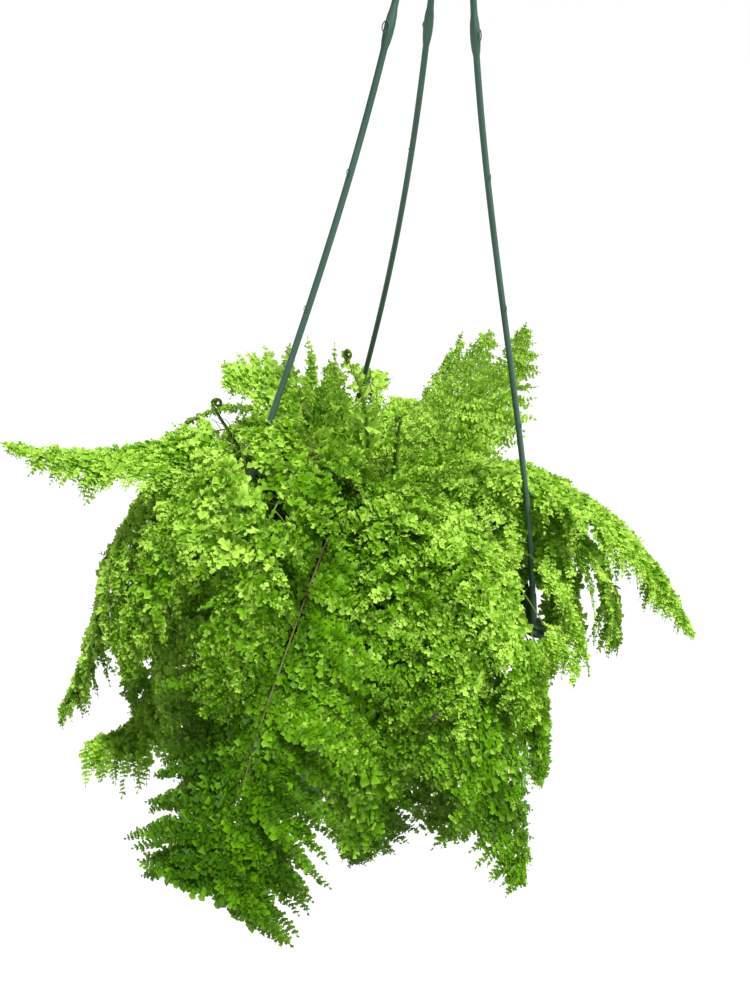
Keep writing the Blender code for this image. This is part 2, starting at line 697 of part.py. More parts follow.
def layered_fronds():
    """The mound's fronds: each layer fills the three bays between the hanger's arms."""
    draw = random.Random(SEED)
    fronds = []
    for layer in LAYERS:
        for index in range(len(ARM_AZIMUTHS) * len(layer.places)):
            bay, place = divmod(index, len(layer.places))
            centre = ARM_AZIMUTHS[0] + 120 * (bay + layer.places[place])
            azimuth = math.radians(centre + draw.uniform(-3, 3))
            level = layer.level + draw.uniform(-0.18, 0.18)
            path = layer_path(level, layer.length * draw.uniform(0.82, 1.0), azimuth)
            start = layer.bare * (len(path) - 1) * PATH_STEP
            name = "frond_%d_%02d" % (layer.level, index)
            sweep = math.radians(draw.uniform(-4, 4))
            width = layer.width * draw.uniform(0.9, 1.08)
            arch = draw.uniform(0.02, 0.08)
            lift = draw.uniform(1.2, 2.6) * MM
            roll = math.radians(draw.uniform(-8, 8))
            fronds.append(Frond(name, path, azimuth, sweep, start, 0.0, width, layer.pairs, arch, lift, roll,
                                layer.level % 2))
    return fronds


def solids_tree(objects):
    """Search tree over the faces of these objects."""
    verts, faces = [], []
    for item in objects:
        first = len(verts)
        verts.extend(vertex.co.copy() for vertex in item.data.vertices)
        faces.extend([first + index for index in face.vertices] for face in item.data.polygons)
    return BVHTree.FromPolygons(verts, faces)


def build_fern(group, standing):
    """All the fronds, each clear of the hanger, the pot and the fronds before it."""
    tones = [
        material("leaf_mid_green", (0.12, 0.36, 0.03), 0.55),
        material("leaf_light_green", (0.22, 0.50, 0.06), 0.55),
        material("leaf_young_green", (0.28, 0.55, 0.10), 0.55),
    ]
    built = list(standing)
    fronds = []
    for frond in placed_fronds() + layered_fronds():
        solids = solids_tree(built)
        frond = settle(frond, solids)
        if frond:
            fronds.append(frond)
            built.append(build_frond(frond, group, tones, solids))
    return fronds


def shade_smooth(item, angle):
    """Smooth shading with edges sharper than an angle kept."""
    item.data.shade_smooth()
    item.data.set_sharp_from_angle(angle=math.radians(angle))


def main():
    """Builds the model and hangs it from the hook's bearing point."""
    clear_scene()
    group = collection("potted_cotton_candy_fern")
    tools = collection("cutters")
    pot = build_pot(group, tools)
    hanger = build_hanger(group, tools)
    fronds = build_fern(group, (pot, hanger))
    soil = build_soil(group, tools, [(frond.path[0].x, frond.azimuth) for frond in fronds])
    for item in (pot, hanger, soil):
        shade_smooth(item, 40)
    hang = bpy.data.objects.new("hanging_point", None)
    group.objects.link(hang)
    for item in group.objects:
        if item is not hang:
            item.parent = hang
            item.location = (0.0, 0.0, -HOOK_TO_RIM)


main()
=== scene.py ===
"""Potted cotton candy fern on its moulded hanger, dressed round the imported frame.

The file is laid out as a Blender add-on and is run as a script. Each operator makes one piece, or one
group of like pieces, in the frame's own place: the world origin is where the hook bears, and the pot's
rim lies HOOK_TO_RIM under it.
"""

import functools
import json
import math
import random
from collections import namedtuple

import bmesh
import bpy
import numpy as np
from bpy.props import FloatProperty, FloatVectorProperty, IntProperty, PointerProperty
from bpy.types import Operator, Panel, PropertyGroup
from mathutils import Matrix, Vector, noise
from mathutils.kdtree import KDTree

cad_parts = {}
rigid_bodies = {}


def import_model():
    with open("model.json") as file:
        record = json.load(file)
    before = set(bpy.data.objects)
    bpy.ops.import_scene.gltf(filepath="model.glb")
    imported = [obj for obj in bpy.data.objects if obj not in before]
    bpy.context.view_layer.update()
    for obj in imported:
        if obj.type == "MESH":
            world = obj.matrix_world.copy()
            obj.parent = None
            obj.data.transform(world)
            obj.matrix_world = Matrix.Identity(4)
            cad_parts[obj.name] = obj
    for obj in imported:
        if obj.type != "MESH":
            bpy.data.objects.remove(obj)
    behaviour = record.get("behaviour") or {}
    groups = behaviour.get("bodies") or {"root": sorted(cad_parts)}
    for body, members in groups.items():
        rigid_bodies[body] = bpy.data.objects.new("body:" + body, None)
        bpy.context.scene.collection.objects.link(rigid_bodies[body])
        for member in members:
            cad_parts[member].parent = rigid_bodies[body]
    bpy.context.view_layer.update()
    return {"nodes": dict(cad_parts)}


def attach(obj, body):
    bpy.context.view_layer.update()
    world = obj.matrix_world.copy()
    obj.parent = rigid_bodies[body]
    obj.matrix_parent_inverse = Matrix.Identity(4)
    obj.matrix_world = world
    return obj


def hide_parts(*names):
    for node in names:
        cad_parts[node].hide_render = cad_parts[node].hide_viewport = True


bl_info = {
    "name": "Potted cotton candy fern",
    "version": (1, 0, 0),
    "blender": (4, 5, 0),
    "location": "3D View > Sidebar > Fern",
    "description": "Adds a hanging pot of cotton candy fern round its packed frame",
    "category": "Add Mesh",
}

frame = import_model()

MM = 0.001
BODY = "root"
HOOK_TO_RIM = 505 * MM
QUARTER = math.pi / 2

# Hanging pot
POT_RADIUS = 127 * MM
POT_HEIGHT = 140 * MM
POT_BASE_RADIUS = 93 * MM
POT_WALL = 1.8 * MM
RIM_BAND = 12 * MM
RIM_STEP = 3.2 * MM
EDGE_ROUND = 0.9 * MM
DRAIN_HOLES = 5
DRAIN_RADIUS = 4.5 * MM
DRAIN_CIRCLE = 62 * MM
HOLE_EDGE = 0.25 * MM
CLIP_CIRCLE = 134 * MM
EAR_RADIUS = 9.5 * MM
EAR_THICKNESS = 3.2 * MM
EAR_HOLE_RADIUS = 2.6 * MM
POT_SIDES = 128
POT_SHARP = 38

# Hanger
GAP = 0.3 * MM
ARM_AZIMUTHS = (-17.4, 102.6, 222.6)
ARM_BOWS = (9.1 * MM, -12.6 * MM, 6.3 * MM)
ARM_BOW_SPAN = 1.15
ARM_FOOT_RADIUS = 131 * MM
ARM_SPAN = 400 * MM
ARM_CURVE = (-0.656, -0.816, 0.594)
ARM_LOW = 1.9 * MM
ARM_HIGH = 1.55 * MM
PAD_HEIGHT = 350 * MM
PAD_HALF = 9 * MM
RING_HEIGHT = 30.5 * MM
MARK_FIRST = 74 * MM
MARK_STEP = 70 * MM
MARKS = 5
SLEEVE_HEIGHT = 23 * MM
SLEEVE_RADIUS = 3.1 * MM
CLIP_DISC_RADIUS = 5.5 * MM
CLIP_DISC_THICKNESS = 2.2 * MM
CLIP_PIN_RADIUS = 2.25 * MM
CLIP_HEAD_RADIUS = 3.2 * MM
CLIP_HEAD_LENGTH = 4.5 * MM
HUB_HEIGHT = 441 * MM
HUB_RADIUS = 15.5 * MM
HUB_THICKNESS = 9 * MM
HUB_NECK_RADIUS = 4.5 * MM
HOOK_WIRE = 3.2 * MM
HOOK_RADIUS = 18 * MM
HOOK_FROM = -52.0
HOOK_TO = 208.0
HANGER_SHARP = 42

# Potting soil
SOIL_TOP = -14 * MM
SOIL_CROWN = 3 * MM
SOIL_RINGS = 26
SOIL_ROUGH = 1.3 * MM
SOIL_SIDES = 96
GRAIN_SIZE = 3.2 * MM

# Ribs of the fronds, as in the solids. A pair is the value of the lowest layer and its change with each
# layer above, and HIGH_SHARE is how much higher the crests of the top layer stand on HIGH_SIDE.
STEM_SUNK = 22 * MM
STEM_STRAIGHT = 5 * MM
PATH_STEP = 1 * MM
WRAP_RADIUS = 80 * MM
SEED = 11
RIB_END_RADIUS = 0.62 * MM
COIL_LENGTH = 19 * MM
COIL_OUTER = 3.7 * MM
COIL_INNER = 1.4 * MM
ROOT_RADIUS = (93 * MM, -16 * MM)
CREST_HEIGHT = (15 * MM, 20 * MM)
CREST_RADIUS = (128 * MM, -10.5 * MM)
REACH_RADIUS = (158 * MM, 11 * MM)
REACH_HEIGHT = (-126 * MM, 14 * MM)
HIGH_SIDE = -150.0
HIGH_SHARE = 0.13

# Layers from the top of the mound down: where the fronds stand in each bay between two arms, as shares
# of it, how much of the whole rib they keep, how much of that is bare, and the width of their blades
Layer = namedtuple("Layer", "level places length bare width")
LAYERS = (
    Layer(4, (0.13, 0.46, 0.79), 0.90, 0.34, 42 * MM),
    Layer(3, (0.29, 0.62, 0.90), 0.92, 0.34, 42 * MM),
    Layer(2, (0.16, 0.70), 0.94, 0.34, 46 * MM),
    Layer(1, (0.42, 0.88), 0.96, 0.40, 46 * MM),
    Layer(0, (0.15, 0.64), 0.98, 0.40, 44 * MM),
)

Frond = namedtuple("Frond", "name path azimuth sweep start coil width arch lift roll tone")

# Leaflets: toothed lobes of unit length, as the tip, four points beside the midrib and their heights
LEAFLET_TIPS = (1.00, 0.98, 1.06, 0.95)
LEAFLET_HALVES = (
    ((0.02, 0.24), (0.44, 0.42), (0.52, 0.19), (0.86, 0.29)),
    ((0.00, 0.26), (0.38, 0.39), (0.47, 0.18), (0.80, 0.33)),
    ((0.04, 0.22), (0.52, 0.42), (0.60, 0.18), (0.91, 0.25)),
    ((0.00, 0.25), (0.34, 0.37), (0.44, 0.17), (0.77, 0.33)),
)
LEAFLET_RUFFLES = ((0.00, 0.16, -0.06, 0.10), (0.00, -0.13, 0.08, -0.16), (0.00, 0.19, 0.02, -0.14),
                   (0.00, -0.08, 0.10, 0.19))

# How fronds differ from the plain ones: scale of their leaves, width of the blade's left and right
# half seen from the root, taper, distance between side branches, how wild these stand, a shift in
# their leaves' tone, for younger growth and as painted light on some fronds and painted shade on
# others, the distance between them as a share of their length, and how they ruffle
Habit = namedtuple("Habit", "leaf left right taper crowd wild fresh apart ruffle")
HABITS = {"frond_" + row[0]: Habit(*row[1:]) for row in (
    ("front_left", 0.82, 1.55, 1.60, 0.34, 0.54, 0.9, -0.7, 0.43, 0.42),
    ("front_right", 0.84, 0.72, 1.45, 0.84, 1.00, 0.9, -0.3, 0.42, 0.45),
    ("skirt_front", 0.74, 1.60, 0.90, 0.97, 0.74, 1.0, -0.6, 0.44, 0.45),
    ("skirt_left", 0.80, 1.75, 0.38, 0.66, 0.66, 1.6, 1.6, 0.44, 0.46),
    ("low_left", 0.80, 1.50, 0.26, 0.74, 0.66, 1.2, 1.0, 0.44, 0.48),
    ("right", 0.76, 0.30, 1.30, 0.82, 0.60, 1.2, 0.6, 0.44, 0.50),
    ("left", 0.80, 1.60, 0.62, 0.93, 0.60, 1.1, 0.2, 0.44, 0.45),
    ("left_high", 0.78, 1.35, 0.70, 0.80, 0.84, 1.6, -0.3, 0.50, 0.66),
    ("front_high", 0.78, 1.20, 1.30, 0.80, 0.84, 1.6, -0.7, 0.50, 0.66),
    ("top_left", 0.95, 1.50, 2.00, 0.84, 0.60, 1.2, 0.0, 0.44, 0.55),
    ("top_upright", 0.90, 1.30, 1.30, 0.80, 0.72, 1.2, 0.2, 0.44, 0.55),
    ("curled", 0.62, 1.30, 1.30, 0.50, 1.00, 1.0, 0.8, 0.46, 0.95),
    ("young", 0.80, 1.30, 1.30, 0.60, 1.00, 1.0, 0.2, 0.46, 0.50),
    ("back_right_a", 0.76, 0.75, 1.10, 0.84, 0.84, 1.1, 0.7, 0.46, 0.50),
    ("back_right_b", 0.76, 0.75, 1.00, 0.86, 0.86, 1.1, 0.7, 0.46, 0.50),
    ("back_right_c", 0.76, 1.05, 1.70, 0.94, 0.80, 1.1, 0.7, 0.46, 0.50),
    ("crown_front", 0.70, 1.00, 1.15, 0.80, 0.92, 1.9, -0.1, 0.51, 0.66),
    ("crown_right", 0.66, 1.10, 1.10, 0.75, 0.88, 1.9, 0.5, 0.50, 0.66),
    ("rim_right", 0.66, 0.80, 1.20, 0.75, 0.84, 1.7, 0.8, 0.48, 0.60),
    ("back", 0.80, 0.42, 0.42, 0.70, 1.00, 1.3, 1.0, 0.50, 0.62),
    ("4_02", 0.78, 0.34, 0.40, 0.75, 1.00, 1.3, 1.0, 0.50, 0.62),
    ("3_02", 0.80, 0.70, 0.70, 0.75, 1.00, 1.4, 1.0, 0.52, 0.62),
    ("4_04", 0.70, 0.24, 0.12, 0.85, 1.00, 1.2, 0.0, 0.50, 0.62),
    ("3_04", 0.75, 0.70, 0.20, 0.88, 1.00, 1.3, 0.2, 0.50, 0.62),
    ("4_00", 0.76, 0.45, 1.60, 0.80, 0.84, 1.5, 0.9, 0.46, 0.50),
    ("3_00", 0.80, 0.70, 1.60, 0.80, 0.90, 1.4, 0.6, 0.48, 0.55),
    ("2_00", 0.92, 0.80, 1.50, 0.80, 0.92, 1.3, 0.4, 0.50, 0.62),
    ("4_08", 0.66, 0.70, 1.05, 0.80, 0.88, 1.9, 0.5, 0.50, 0.66),
    ("3_07", 0.70, 0.95, 1.05, 0.80, 0.88, 1.8, 0.1, 0.50, 0.66),
    ("3_08", 0.70, 0.30, 0.55, 0.95, 0.88, 1.6, 0.6, 0.50, 0.66),
    ("3_05", 0.80, 1.30, 0.70, 0.80, 0.84, 1.4, 0.2, 0.50, 0.60),
    ("2_05", 1.00, 0.20, 0.90, 0.95, 0.95, 1.1, 0.3, 0.50, 0.60),
    ("1_05", 1.10, 0.20, 0.90, 0.95, 0.95, 1.0, 0.3, 0.50, 0.60),
    ("0_00", 1.20, 0.50, 1.00, 0.85, 1.00, 1.0, 0.6, 0.52, 0.60),
    ("0_05", 1.15, 1.20, 1.15, 0.80, 0.88, 1.0, 0.2, 0.52, 0.60),
    ("1_04", 1.15, 1.30, 0.40, 0.88, 0.92, 1.0, 0.0, 0.52, 0.60),
)}
INNER_HABIT = Habit(1.24, 1.18, 1.18, 0.80, 1.00, 1.0, 0.0, 0.52, 0.60)
PLAIN_HABIT = Habit(0.80, 1.00, 1.00, 0.82, 1.00, 1.4, 0.0, 0.52, 0.62)

# Fronds that turn their face, in degrees from root to tip
FACED = {"frond_top_upright": -75.0, "frond_young": -70.0, "frond_curled": -50.0, "frond_top_left": -32.0,
         "frond_left": -18.0, "frond_right": 16.0, "frond_back_right_a": 22.0, "frond_back_right_b": 38.0,
         "frond_back_right_c": 48.0}

# As in the photograph, leaves part before these stretches of the arms, given by their heights, and before
# these of the ribs, given as shares of their length, with how far the leaves keep off
BARE_STRETCHES = ((0, -8 * MM, 110 * MM), (1, 82 * MM, 150 * MM))
BARE_STEMS = (("frond_fiddlehead", 0.44, 0.60, 4.4 * MM), ("frond_fiddlehead", 0.60, 1.0, 7.5 * MM),
              ("frond_young", 0.60, 1.0, 3.2 * MM), ("frond_curled", 0.58, 1.0, 3.6 * MM),
              ("frond_front_left", 0.44, 0.86, 2.2 * MM))
BARE_ARM = 6 * MM
BARE_STEP = 4 * MM

# Side branches: fronds narrower than NARROW have none, and those with a bare rib are stepped more finely
NARROW = 12 * MM
SHORTEST_BRANCH = 4.5 * MM
LOWEST_BRANCH = 52 * MM
BRANCH_STEP = 4.5 * MM
FINE_STEP = 2.6 * MM
FINE_BRANCHES = {row[0] for row in BARE_STEMS}
LEAF_SHARP = 40

# Thickness of a rib in mm at its root and how much it loses to its tip, of plain and of coiled fronds
RIB_THICKNESS = (0.95, 0.62)
COILED_THICKNESS = (1.75, 0.85)
RIB_STEP = 4 * MM
COILED_STEP = 1.2 * MM
TIP_LEAF = 3 * MM
COILED_TIP_LEAF = 2.6 * MM

# How leaflets stand on a midrib: the lean ahead and aside of left, right and last ones, how far these
# directions wander, the range of their sizes and the least distance between them
LEAF_LEANS = ((0.42, 0.95), (0.42, -0.95), (1.0, 0.0))
LEAF_JITTER = 0.75
LEAF_TILT = (1.3, 1.3, 0.5)
LEAF_SIZES = (0.68, 1.28)
LEAF_GAP = 0.5 * MM
LEAF_LEAST_APART = 1.5 * MM

# A frond's tone gives the record's slot, its leaf material and its stem material
TONES = (("leaf_mid", "mature_leaf", "wiry_stem"), ("leaf_light", "fresh_leaf", "green_stem"),
         ("leaf_young", "young_leaf", "green_stem"))
YOUTH = {"mature_leaf": 0.0, "fresh_leaf": 0.10, "young_leaf": 0.34}
BROWN = {"wiry_stem": 0.35, "green_stem": 0.0}

# Stage, with the camera from the fit to the hanger's three arms in the photograph
VIEW_DISTANCE = 614 * MM
VIEW_RAISED = math.radians(38.1)
VIEW_YAW = math.radians(-0.6)
VIEW_PITCH = math.radians(33.2)
VIEW_ROLL = math.radians(-7.0)
VIEWER = (0.0, -VIEW_DISTANCE * math.cos(VIEW_RAISED), VIEW_DISTANCE * math.sin(VIEW_RAISED))
SENSOR_MM = 36.0
LENS_MM = 29.772
FLOOR_DROP = 1.6
FLOOR_HALF = 40.0
LIGHT_PLACE = (0.8, -1.0, 0.5)
LIGHT_AIM = (0.0, 0.0, -0.46)
LIGHT_SIZE = 0.7
SUN_AIM = (-0.18, 0.04, -1.0)
SUN_ANGLE = math.radians(9)
FILL_STRENGTH = 0.11

ColorProperty = functools.partial(FloatVectorProperty, subtype="COLOR", size=3, min=0.0, max=1.0)
LengthProperty = functools.partial(FloatProperty, unit="LENGTH")


class PotSettings(PropertyGroup):
    """What a user may change on the pot, the hanger and the soil."""

    pot_color: ColorProperty(
        name="Pot colour", description="Colour of the pot's plastic", default=(0.020, 0.056, 0.031))
    hanger_color: ColorProperty(
        name="Hanger colour", description="Colour of the hanger's plastic", default=(0.070, 0.145, 0.103))
    soil_color: ColorProperty(
        name="Soil colour", description="Colour of the damp peat", default=(0.030, 0.019, 0.011))
    arm_thickness: LengthProperty(
        name="Arm thickness", description="Thickness of a hanger arm at its foot", default=2 * ARM_LOW,
        min=2 * MM, max=6 * MM)
    crumb_spacing: LengthProperty(
        name="Crumb spacing", description="Least distance between crumbs of soil", default=6 * MM,
        min=2 * MM, max=20 * MM)


class FoliageSettings(PropertyGroup):
    """What a user may change on the fronds."""

    leaflet_length: LengthProperty(
        name="Leaflet length", description="Length of the longest leaves, before each frond's own scale",
        default=9.5 * MM, min=2 * MM, max=15 * MM)
    leaflet_spacing: FloatProperty(
        name="Leaflet spacing", description="Scale of the distance between leaves on a midrib",
        default=1.0, min=0.5, max=4.0)
    ruffle: FloatProperty(
        name="Ruffle", description="How far the leaves twist out of the frond's plane", default=1.0,
        min=0.0, max=2.0)
    droop: FloatProperty(
        name="Droop", description="How far side branches hang, as a share of their length", default=0.16,
        min=0.0, max=0.6)
    # Deep green also takes the painted shade low on the mound and at leaflet bases, Fresh green the painted
    # light high on it and the painted highlights on leaflet edges
    deep_color: ColorProperty(
        name="Deep green", description="Colour of the oldest leaves", default=(0.034, 0.122, 0.0))
    mid_color: ColorProperty(
        name="Mid green", description="Colour of most of the leaves", default=(0.155, 0.400, 0.0))
    fresh_color: ColorProperty(
        name="Fresh green", description="Colour of leaf edges and new leaves", default=(0.600, 0.900, 0.130))
    seed: IntProperty(
        name="Seed", description="Changes the random turns and tints of the leaves", default=5, min=0)


class StageSettings(PropertyGroup):
    """What a user may change on the stage."""

    floor_color: ColorProperty(
        name="Floor colour", description="Colour of the plain floor", default=(0.72, 0.72, 0.715))
    light_power: FloatProperty(
        name="Light power", description="Power of the front soft light", subtype="POWER", unit="POWER",
        default=7.0, min=0.0, max=500.0)
    sky_strength: FloatProperty(
        name="Overhead strength", description="Strength of the broad light from above", default=4.5,
        min=0.0, max=20.0)


class FernSettings(PropertyGroup):
    """All the settings of the potted fern."""

    pot: PointerProperty(type=PotSettings, name="Pot", description="Pot, hanger and soil")
    foliage: PointerProperty(type=FoliageSettings, name="Foliage", description="Fronds and leaves")
    stage: PointerProperty(type=StageSettings, name="Stage", description="Floor and lights")


# Meshes

def evenly(low, high, count):
    """Values from low to high in this many equal steps, both ends included."""
    return [low + (high - low) * step / count for step in range(count + 1)]


def polar(radius, azimuth, height):
    """Point at a radius from the pot's axis, an azimuth in radians and a height over the rim."""
    return Vector((radius * math.cos(azimuth), radius * math.sin(azimuth), height))


def sideways(azimuth):
    """Level direction at a right angle to the one that leads out from the pot's axis."""
    return Vector((-math.sin(azimuth), math.cos(azimuth), 0.0))


def new_object(name, data, group=None):
    """Object with this data, in a collection or else in the scene."""
    result = bpy.data.objects.new(name, data)
    (group or bpy.context.scene.collection).objects.link(result)
    return result


def mesh_from(bm, name):
    """Mesh from a bmesh with its doubles merged and its faces turned outwards."""
    bmesh.ops.remove_doubles(bm, verts=bm.verts, dist=0.005 * MM)
    bmesh.ops.recalc_face_normals(bm, faces=bm.faces)
    mesh = bpy.data.meshes.new(name)
    bm.to_mesh(mesh)
    bm.free()
    return mesh


def add_attribute(mesh, name, values):
    """Attribute with a number or a vector for each point of a mesh."""
    values = np.array(values, float)
    kind, field = ("FLOAT", "value") if values.ndim == 1 else ("FLOAT_VECTOR", "vector")
    mesh.attributes.new(name, kind, "POINT").data.foreach_set(field, values.ravel())


def finish_piece(item, slot, *nodes, sharp=None):
    """Hangs a piece from the hook's bearing point, and hides the solids it stands for.

    sharp is the angle, in degrees, over which edges stay sharp while the rest is smoothed.
    """
    if sharp is not None:
        item.data.shade_smooth()
        item.data.set_sharp_from_angle(angle=math.radians(sharp))
    item.data.transform(Matrix.Translation((0.0, 0.0, -HOOK_TO_RIM)))
    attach(item, BODY)
    if nodes:
        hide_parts(*nodes)


def bridge(bm, rings, sides):
    """Faces between rings of points, each a full ring or a single point."""
    for near, far in zip(rings, rings[1:]):
        for step in range(sides):
            after = (step + 1) % sides
            corners = [near[step % len(near)], near[after % len(near)],
                       far[after % len(far)], far[step % len(far)]]
            corners = list(dict.fromkeys(corners))
            if len(corners) > 2:
                bm.faces.new(corners)


def turned(name, profile, sides, centre=(0.0, 0.0)):
    """Mesh of a solid of revolution from a profile of radius and height, both ends on the axis."""
    bm = bmesh.new()
    rings = []
    for radius, height in profile:
        angles = [2 * math.pi * step / sides for step in range(sides)] if radius > 0.0 else [0.0]
        rings.append([bm.verts.new((centre[0] + radius * math.cos(angle),
                                    centre[1] + radius * math.sin(angle), height)) for angle in angles])
    bridge(bm, rings, sides)
    return mesh_from(bm, name)


def tube(name, points, radii, sides, squareness=2.0, stretch=1.0):
    """Closed tube through points. A squareness over 2 flattens its sides, stretch widens it sideways."""
    bm = bmesh.new()
    rings = []
    across = None
    for index, point in enumerate(points):
        ahead = points[min(index + 1, len(points) - 1)]
        back = points[max(index - 1, 0)]
        along = (ahead - back).normalized()
        if across is None:
            across = Vector((0.0, 0.0, 1.0)).cross(along)
            if across.length < 0.01:
                across = Vector((0.0, 1.0, 0.0)).cross(along)
        across = (across - along * across.dot(along)).normalized()
        up = along.cross(across)
        ring = []
        for step in range(sides):
            angle = 2 * math.pi * step / sides
            x, y = math.cos(angle), math.sin(angle)
            grow = (abs(x) ** squareness + abs(y) ** squareness) ** (-1 / squareness)
            ring.append(bm.verts.new(point + (across * x * stretch + up * y) * grow * radii[index]))
        rings.append(ring)
    bridge(bm, rings, sides)
    bm.faces.new(reversed(rings[0]))
    bm.faces.new(rings[-1])
    return mesh_from(bm, name)


def template_collection(name, meshes):
    """Collection of template objects, numbered because a geometry tree sorts them by name."""
    group = bpy.data.collections.new(name)
    bpy.context.scene.collection.children.link(group)
    for index, mesh in enumerate(meshes):
        new_object("%s_%d" % (name, index), mesh, group)
    return group


def remove_collection(group):
    """Removes a collection and the objects in it."""
    for item in list(group.objects):
        bpy.data.objects.remove(item, do_unlink=True)
    bpy.data.collections.remove(group)


def applied(target):
    """Replaces an object's mesh by what its modifiers make of it, and removes them."""
    bpy.context.view_layer.update()
    evaluated = target.evaluated_get(bpy.context.evaluated_depsgraph_get())
    mesh = bpy.data.meshes.new_from_object(evaluated)
    target.modifiers.clear()
    target.data = mesh


def combined(target, meshes, operation, material=None):
    """Joins the meshes to the target or cuts them out of it. A material replaces what it had."""
    tools = template_collection("tool", meshes)
    boolean = target.modifiers.new("Combine", "BOOLEAN")
    boolean.operation = operation
    boolean.solver = "EXACT"
    boolean.operand_type = "COLLECTION"
    boolean.collection = tools
    applied(target)
    remove_collection(tools)
    if material:
        target.data.materials.clear()
        target.data.materials.append(material)


def grown(item, tree, values):
    """Runs a geometry tree on an object with these values, and keeps the result as its plain mesh."""
    modifier = item.modifiers.new(tree.name, "NODES")
    modifier.node_group = tree
    for socket in tree.interface.items_tree:
        if socket.item_type == "SOCKET" and socket.in_out == "INPUT" and socket.name in values:
            modifier[socket.identifier] = values[socket.name]
    applied(item)


# Nodes

class Nodes:
    """A node tree that is being built. Most methods add a node and give its output."""

    def __init__(self, tree):
        self.tree = tree

    def give(self, socket, value):
        """Gives a socket a value or another node's output."""
        if isinstance(value, bpy.types.NodeSocket):
            self.tree.links.new(value, socket)
        else:
            socket.default_value = value

    def node(self, kind, links=None, **settings):
        """New node. links gives each input, by name or index, a value or another node's output."""
        result = self.tree.nodes.new(kind)
        for key, value in settings.items():
            setattr(result, key, value)
        for key, value in (links or {}).items():
            self.give(result.inputs[key], value)
        return result

    def out(self, kind, links=None, output=0, **settings):
        """Output of a new node, by name or index."""
        return self.node(kind, links, **settings).outputs[output]

    def math(self, operation, first, second=0.0, clamp=False):
        """Result of a Math node."""
        return self.out("ShaderNodeMath", {0: first, 1: second}, operation=operation, use_clamp=clamp)

    times = functools.partialmethod(math, "MULTIPLY")
    plus = functools.partialmethod(math, "ADD")
    minus = functools.partialmethod(math, "SUBTRACT")

    def mapped(self, value, low, high, to_low, to_high):
        """Value mapped from one range to another."""
        return self.out("ShaderNodeMapRange", {0: value, 1: low, 2: high, 3: to_low, 4: to_high})

    def vector(self, operation, first, second):
        """Result of a Vector Math node on two vectors."""
        return self.out("ShaderNodeVectorMath", {0: first, 1: second}, operation=operation)

    def scaled(self, vector, scale):
        """Vector times a number."""
        return self.out("ShaderNodeVectorMath", {0: vector, 3: scale}, operation="SCALE")

    def unit(self, vector):
        """Vector at unit length."""
        return self.out("ShaderNodeVectorMath", {0: vector}, operation="NORMALIZE")

    def height(self, vector):
        """Upright part of a vector."""
        return self.out("ShaderNodeSeparateXYZ", {0: vector}, 2)

    def mix(self, factor, first, second):
        """Mixed colour. A plain colour has three channels."""
        first, second = (value if isinstance(value, bpy.types.NodeSocket) else rgba(value)
                         for value in (first, second))
        return self.out("ShaderNodeMix", {0: factor, 6: first, 7: second}, 2, data_type="RGBA")

    def place(self):
        """Object coordinates in a material."""
        return self.out("ShaderNodeTexCoord", output="Object")

    def noise(self, place, scale, detail):
        """Noise in a material, at a scale and with octaves of detail."""
        return self.out("ShaderNodeTexNoise", {"Vector": place, "Scale": scale, "Detail": detail})

    def read(self, name):
        """A mesh's attribute in a material."""
        return self.out("ShaderNodeAttribute", output="Fac", attribute_name=name)

    def stored(self, name, kind="FLOAT"):
        """A mesh's attribute in a geometry tree."""
        return self.out("GeometryNodeInputNamedAttribute", {"Name": name}, data_type=kind)

    def store(self, geometry, name, value, domain):
        """Geometry with a number stored under a name."""
        return self.out("GeometryNodeStoreNamedAttribute",
                        {"Geometry": geometry, "Name": name, "Value": value},
                        data_type="FLOAT", domain=domain)

    def random(self, low, high, seed=0):
        """Random vector, number or whole number between two of its kind."""
        kind, first = {tuple: ("FLOAT_VECTOR", 0), float: ("FLOAT", 2), int: ("INT", 4)}[type(low)]
        return self.out("FunctionNodeRandomValue", {first: low, first + 1: high, "Seed": seed}, first // 2,
                        data_type=kind)

    def over(self, value, limit):
        """Whether a value in a geometry tree is over a limit."""
        return self.out("FunctionNodeCompare", {0: value, 1: limit}, operation="GREATER_THAN")

    def circle(self, sides, radius):
        """Round curve in a geometry tree."""
        return self.out("GeometryNodeCurvePrimitiveCircle", {"Resolution": sides, "Radius": radius})

    def templates(self, collection):
        """The objects of a collection, one by one, as instances to pick from."""
        return self.out("GeometryNodeCollectionInfo", {
            "Collection": collection, "Separate Children": True, "Reset Children": True})

    def instances(self, points, instance, turn, size, **more):
        """Instances on points. more gives other inputs, with _ for a space in their names."""
        links = {"Points": points, "Instance": instance, "Rotation": turn, "Scale": size}
        links.update({name.replace("_", " "): value for name, value in more.items()})
        return self.out("GeometryNodeInstanceOnPoints", links)

    def joined(self, *parts):
        """Geometry joined and with its instances made real."""
        join = self.node("GeometryNodeJoinGeometry")
        for part in parts:
            self.give(join.inputs[0], part)
        return self.out("GeometryNodeRealizeInstances", {0: join.outputs[0]})

    def painted(self, geometry, material, only=True):
        """Geometry with a material on the faces chosen."""
        return self.out("GeometryNodeSetMaterial", {0: geometry, 1: only, 2: material})


def rgba(color):
    """Opaque colour with four channels."""
    return (*color, 1.0)


def new_tree(name, kind, inputs, outputs):
    """Node group with named sockets: its nodes, what it is given and what it has to return."""
    tree = bpy.data.node_groups.new(name, kind)
    for label, socket_kind, value in inputs:
        socket = tree.interface.new_socket(label, in_out="INPUT", socket_type="NodeSocket" + socket_kind)
        if value is not None:
            socket.default_value = value
    for label, socket_kind in outputs:
        tree.interface.new_socket(label, in_out="OUTPUT", socket_type="NodeSocket" + socket_kind)
    return Nodes(tree), tree.nodes.new("NodeGroupInput").outputs, tree.nodes.new("NodeGroupOutput").inputs


def geometry_tree(name, inputs):
    """Geometry node group that takes a geometry and these inputs, and returns a geometry."""
    inputs = (("Geometry", "Geometry", None),) + inputs
    return new_tree(name, "GeometryNodeTree", inputs, (("Geometry", "Geometry"),))


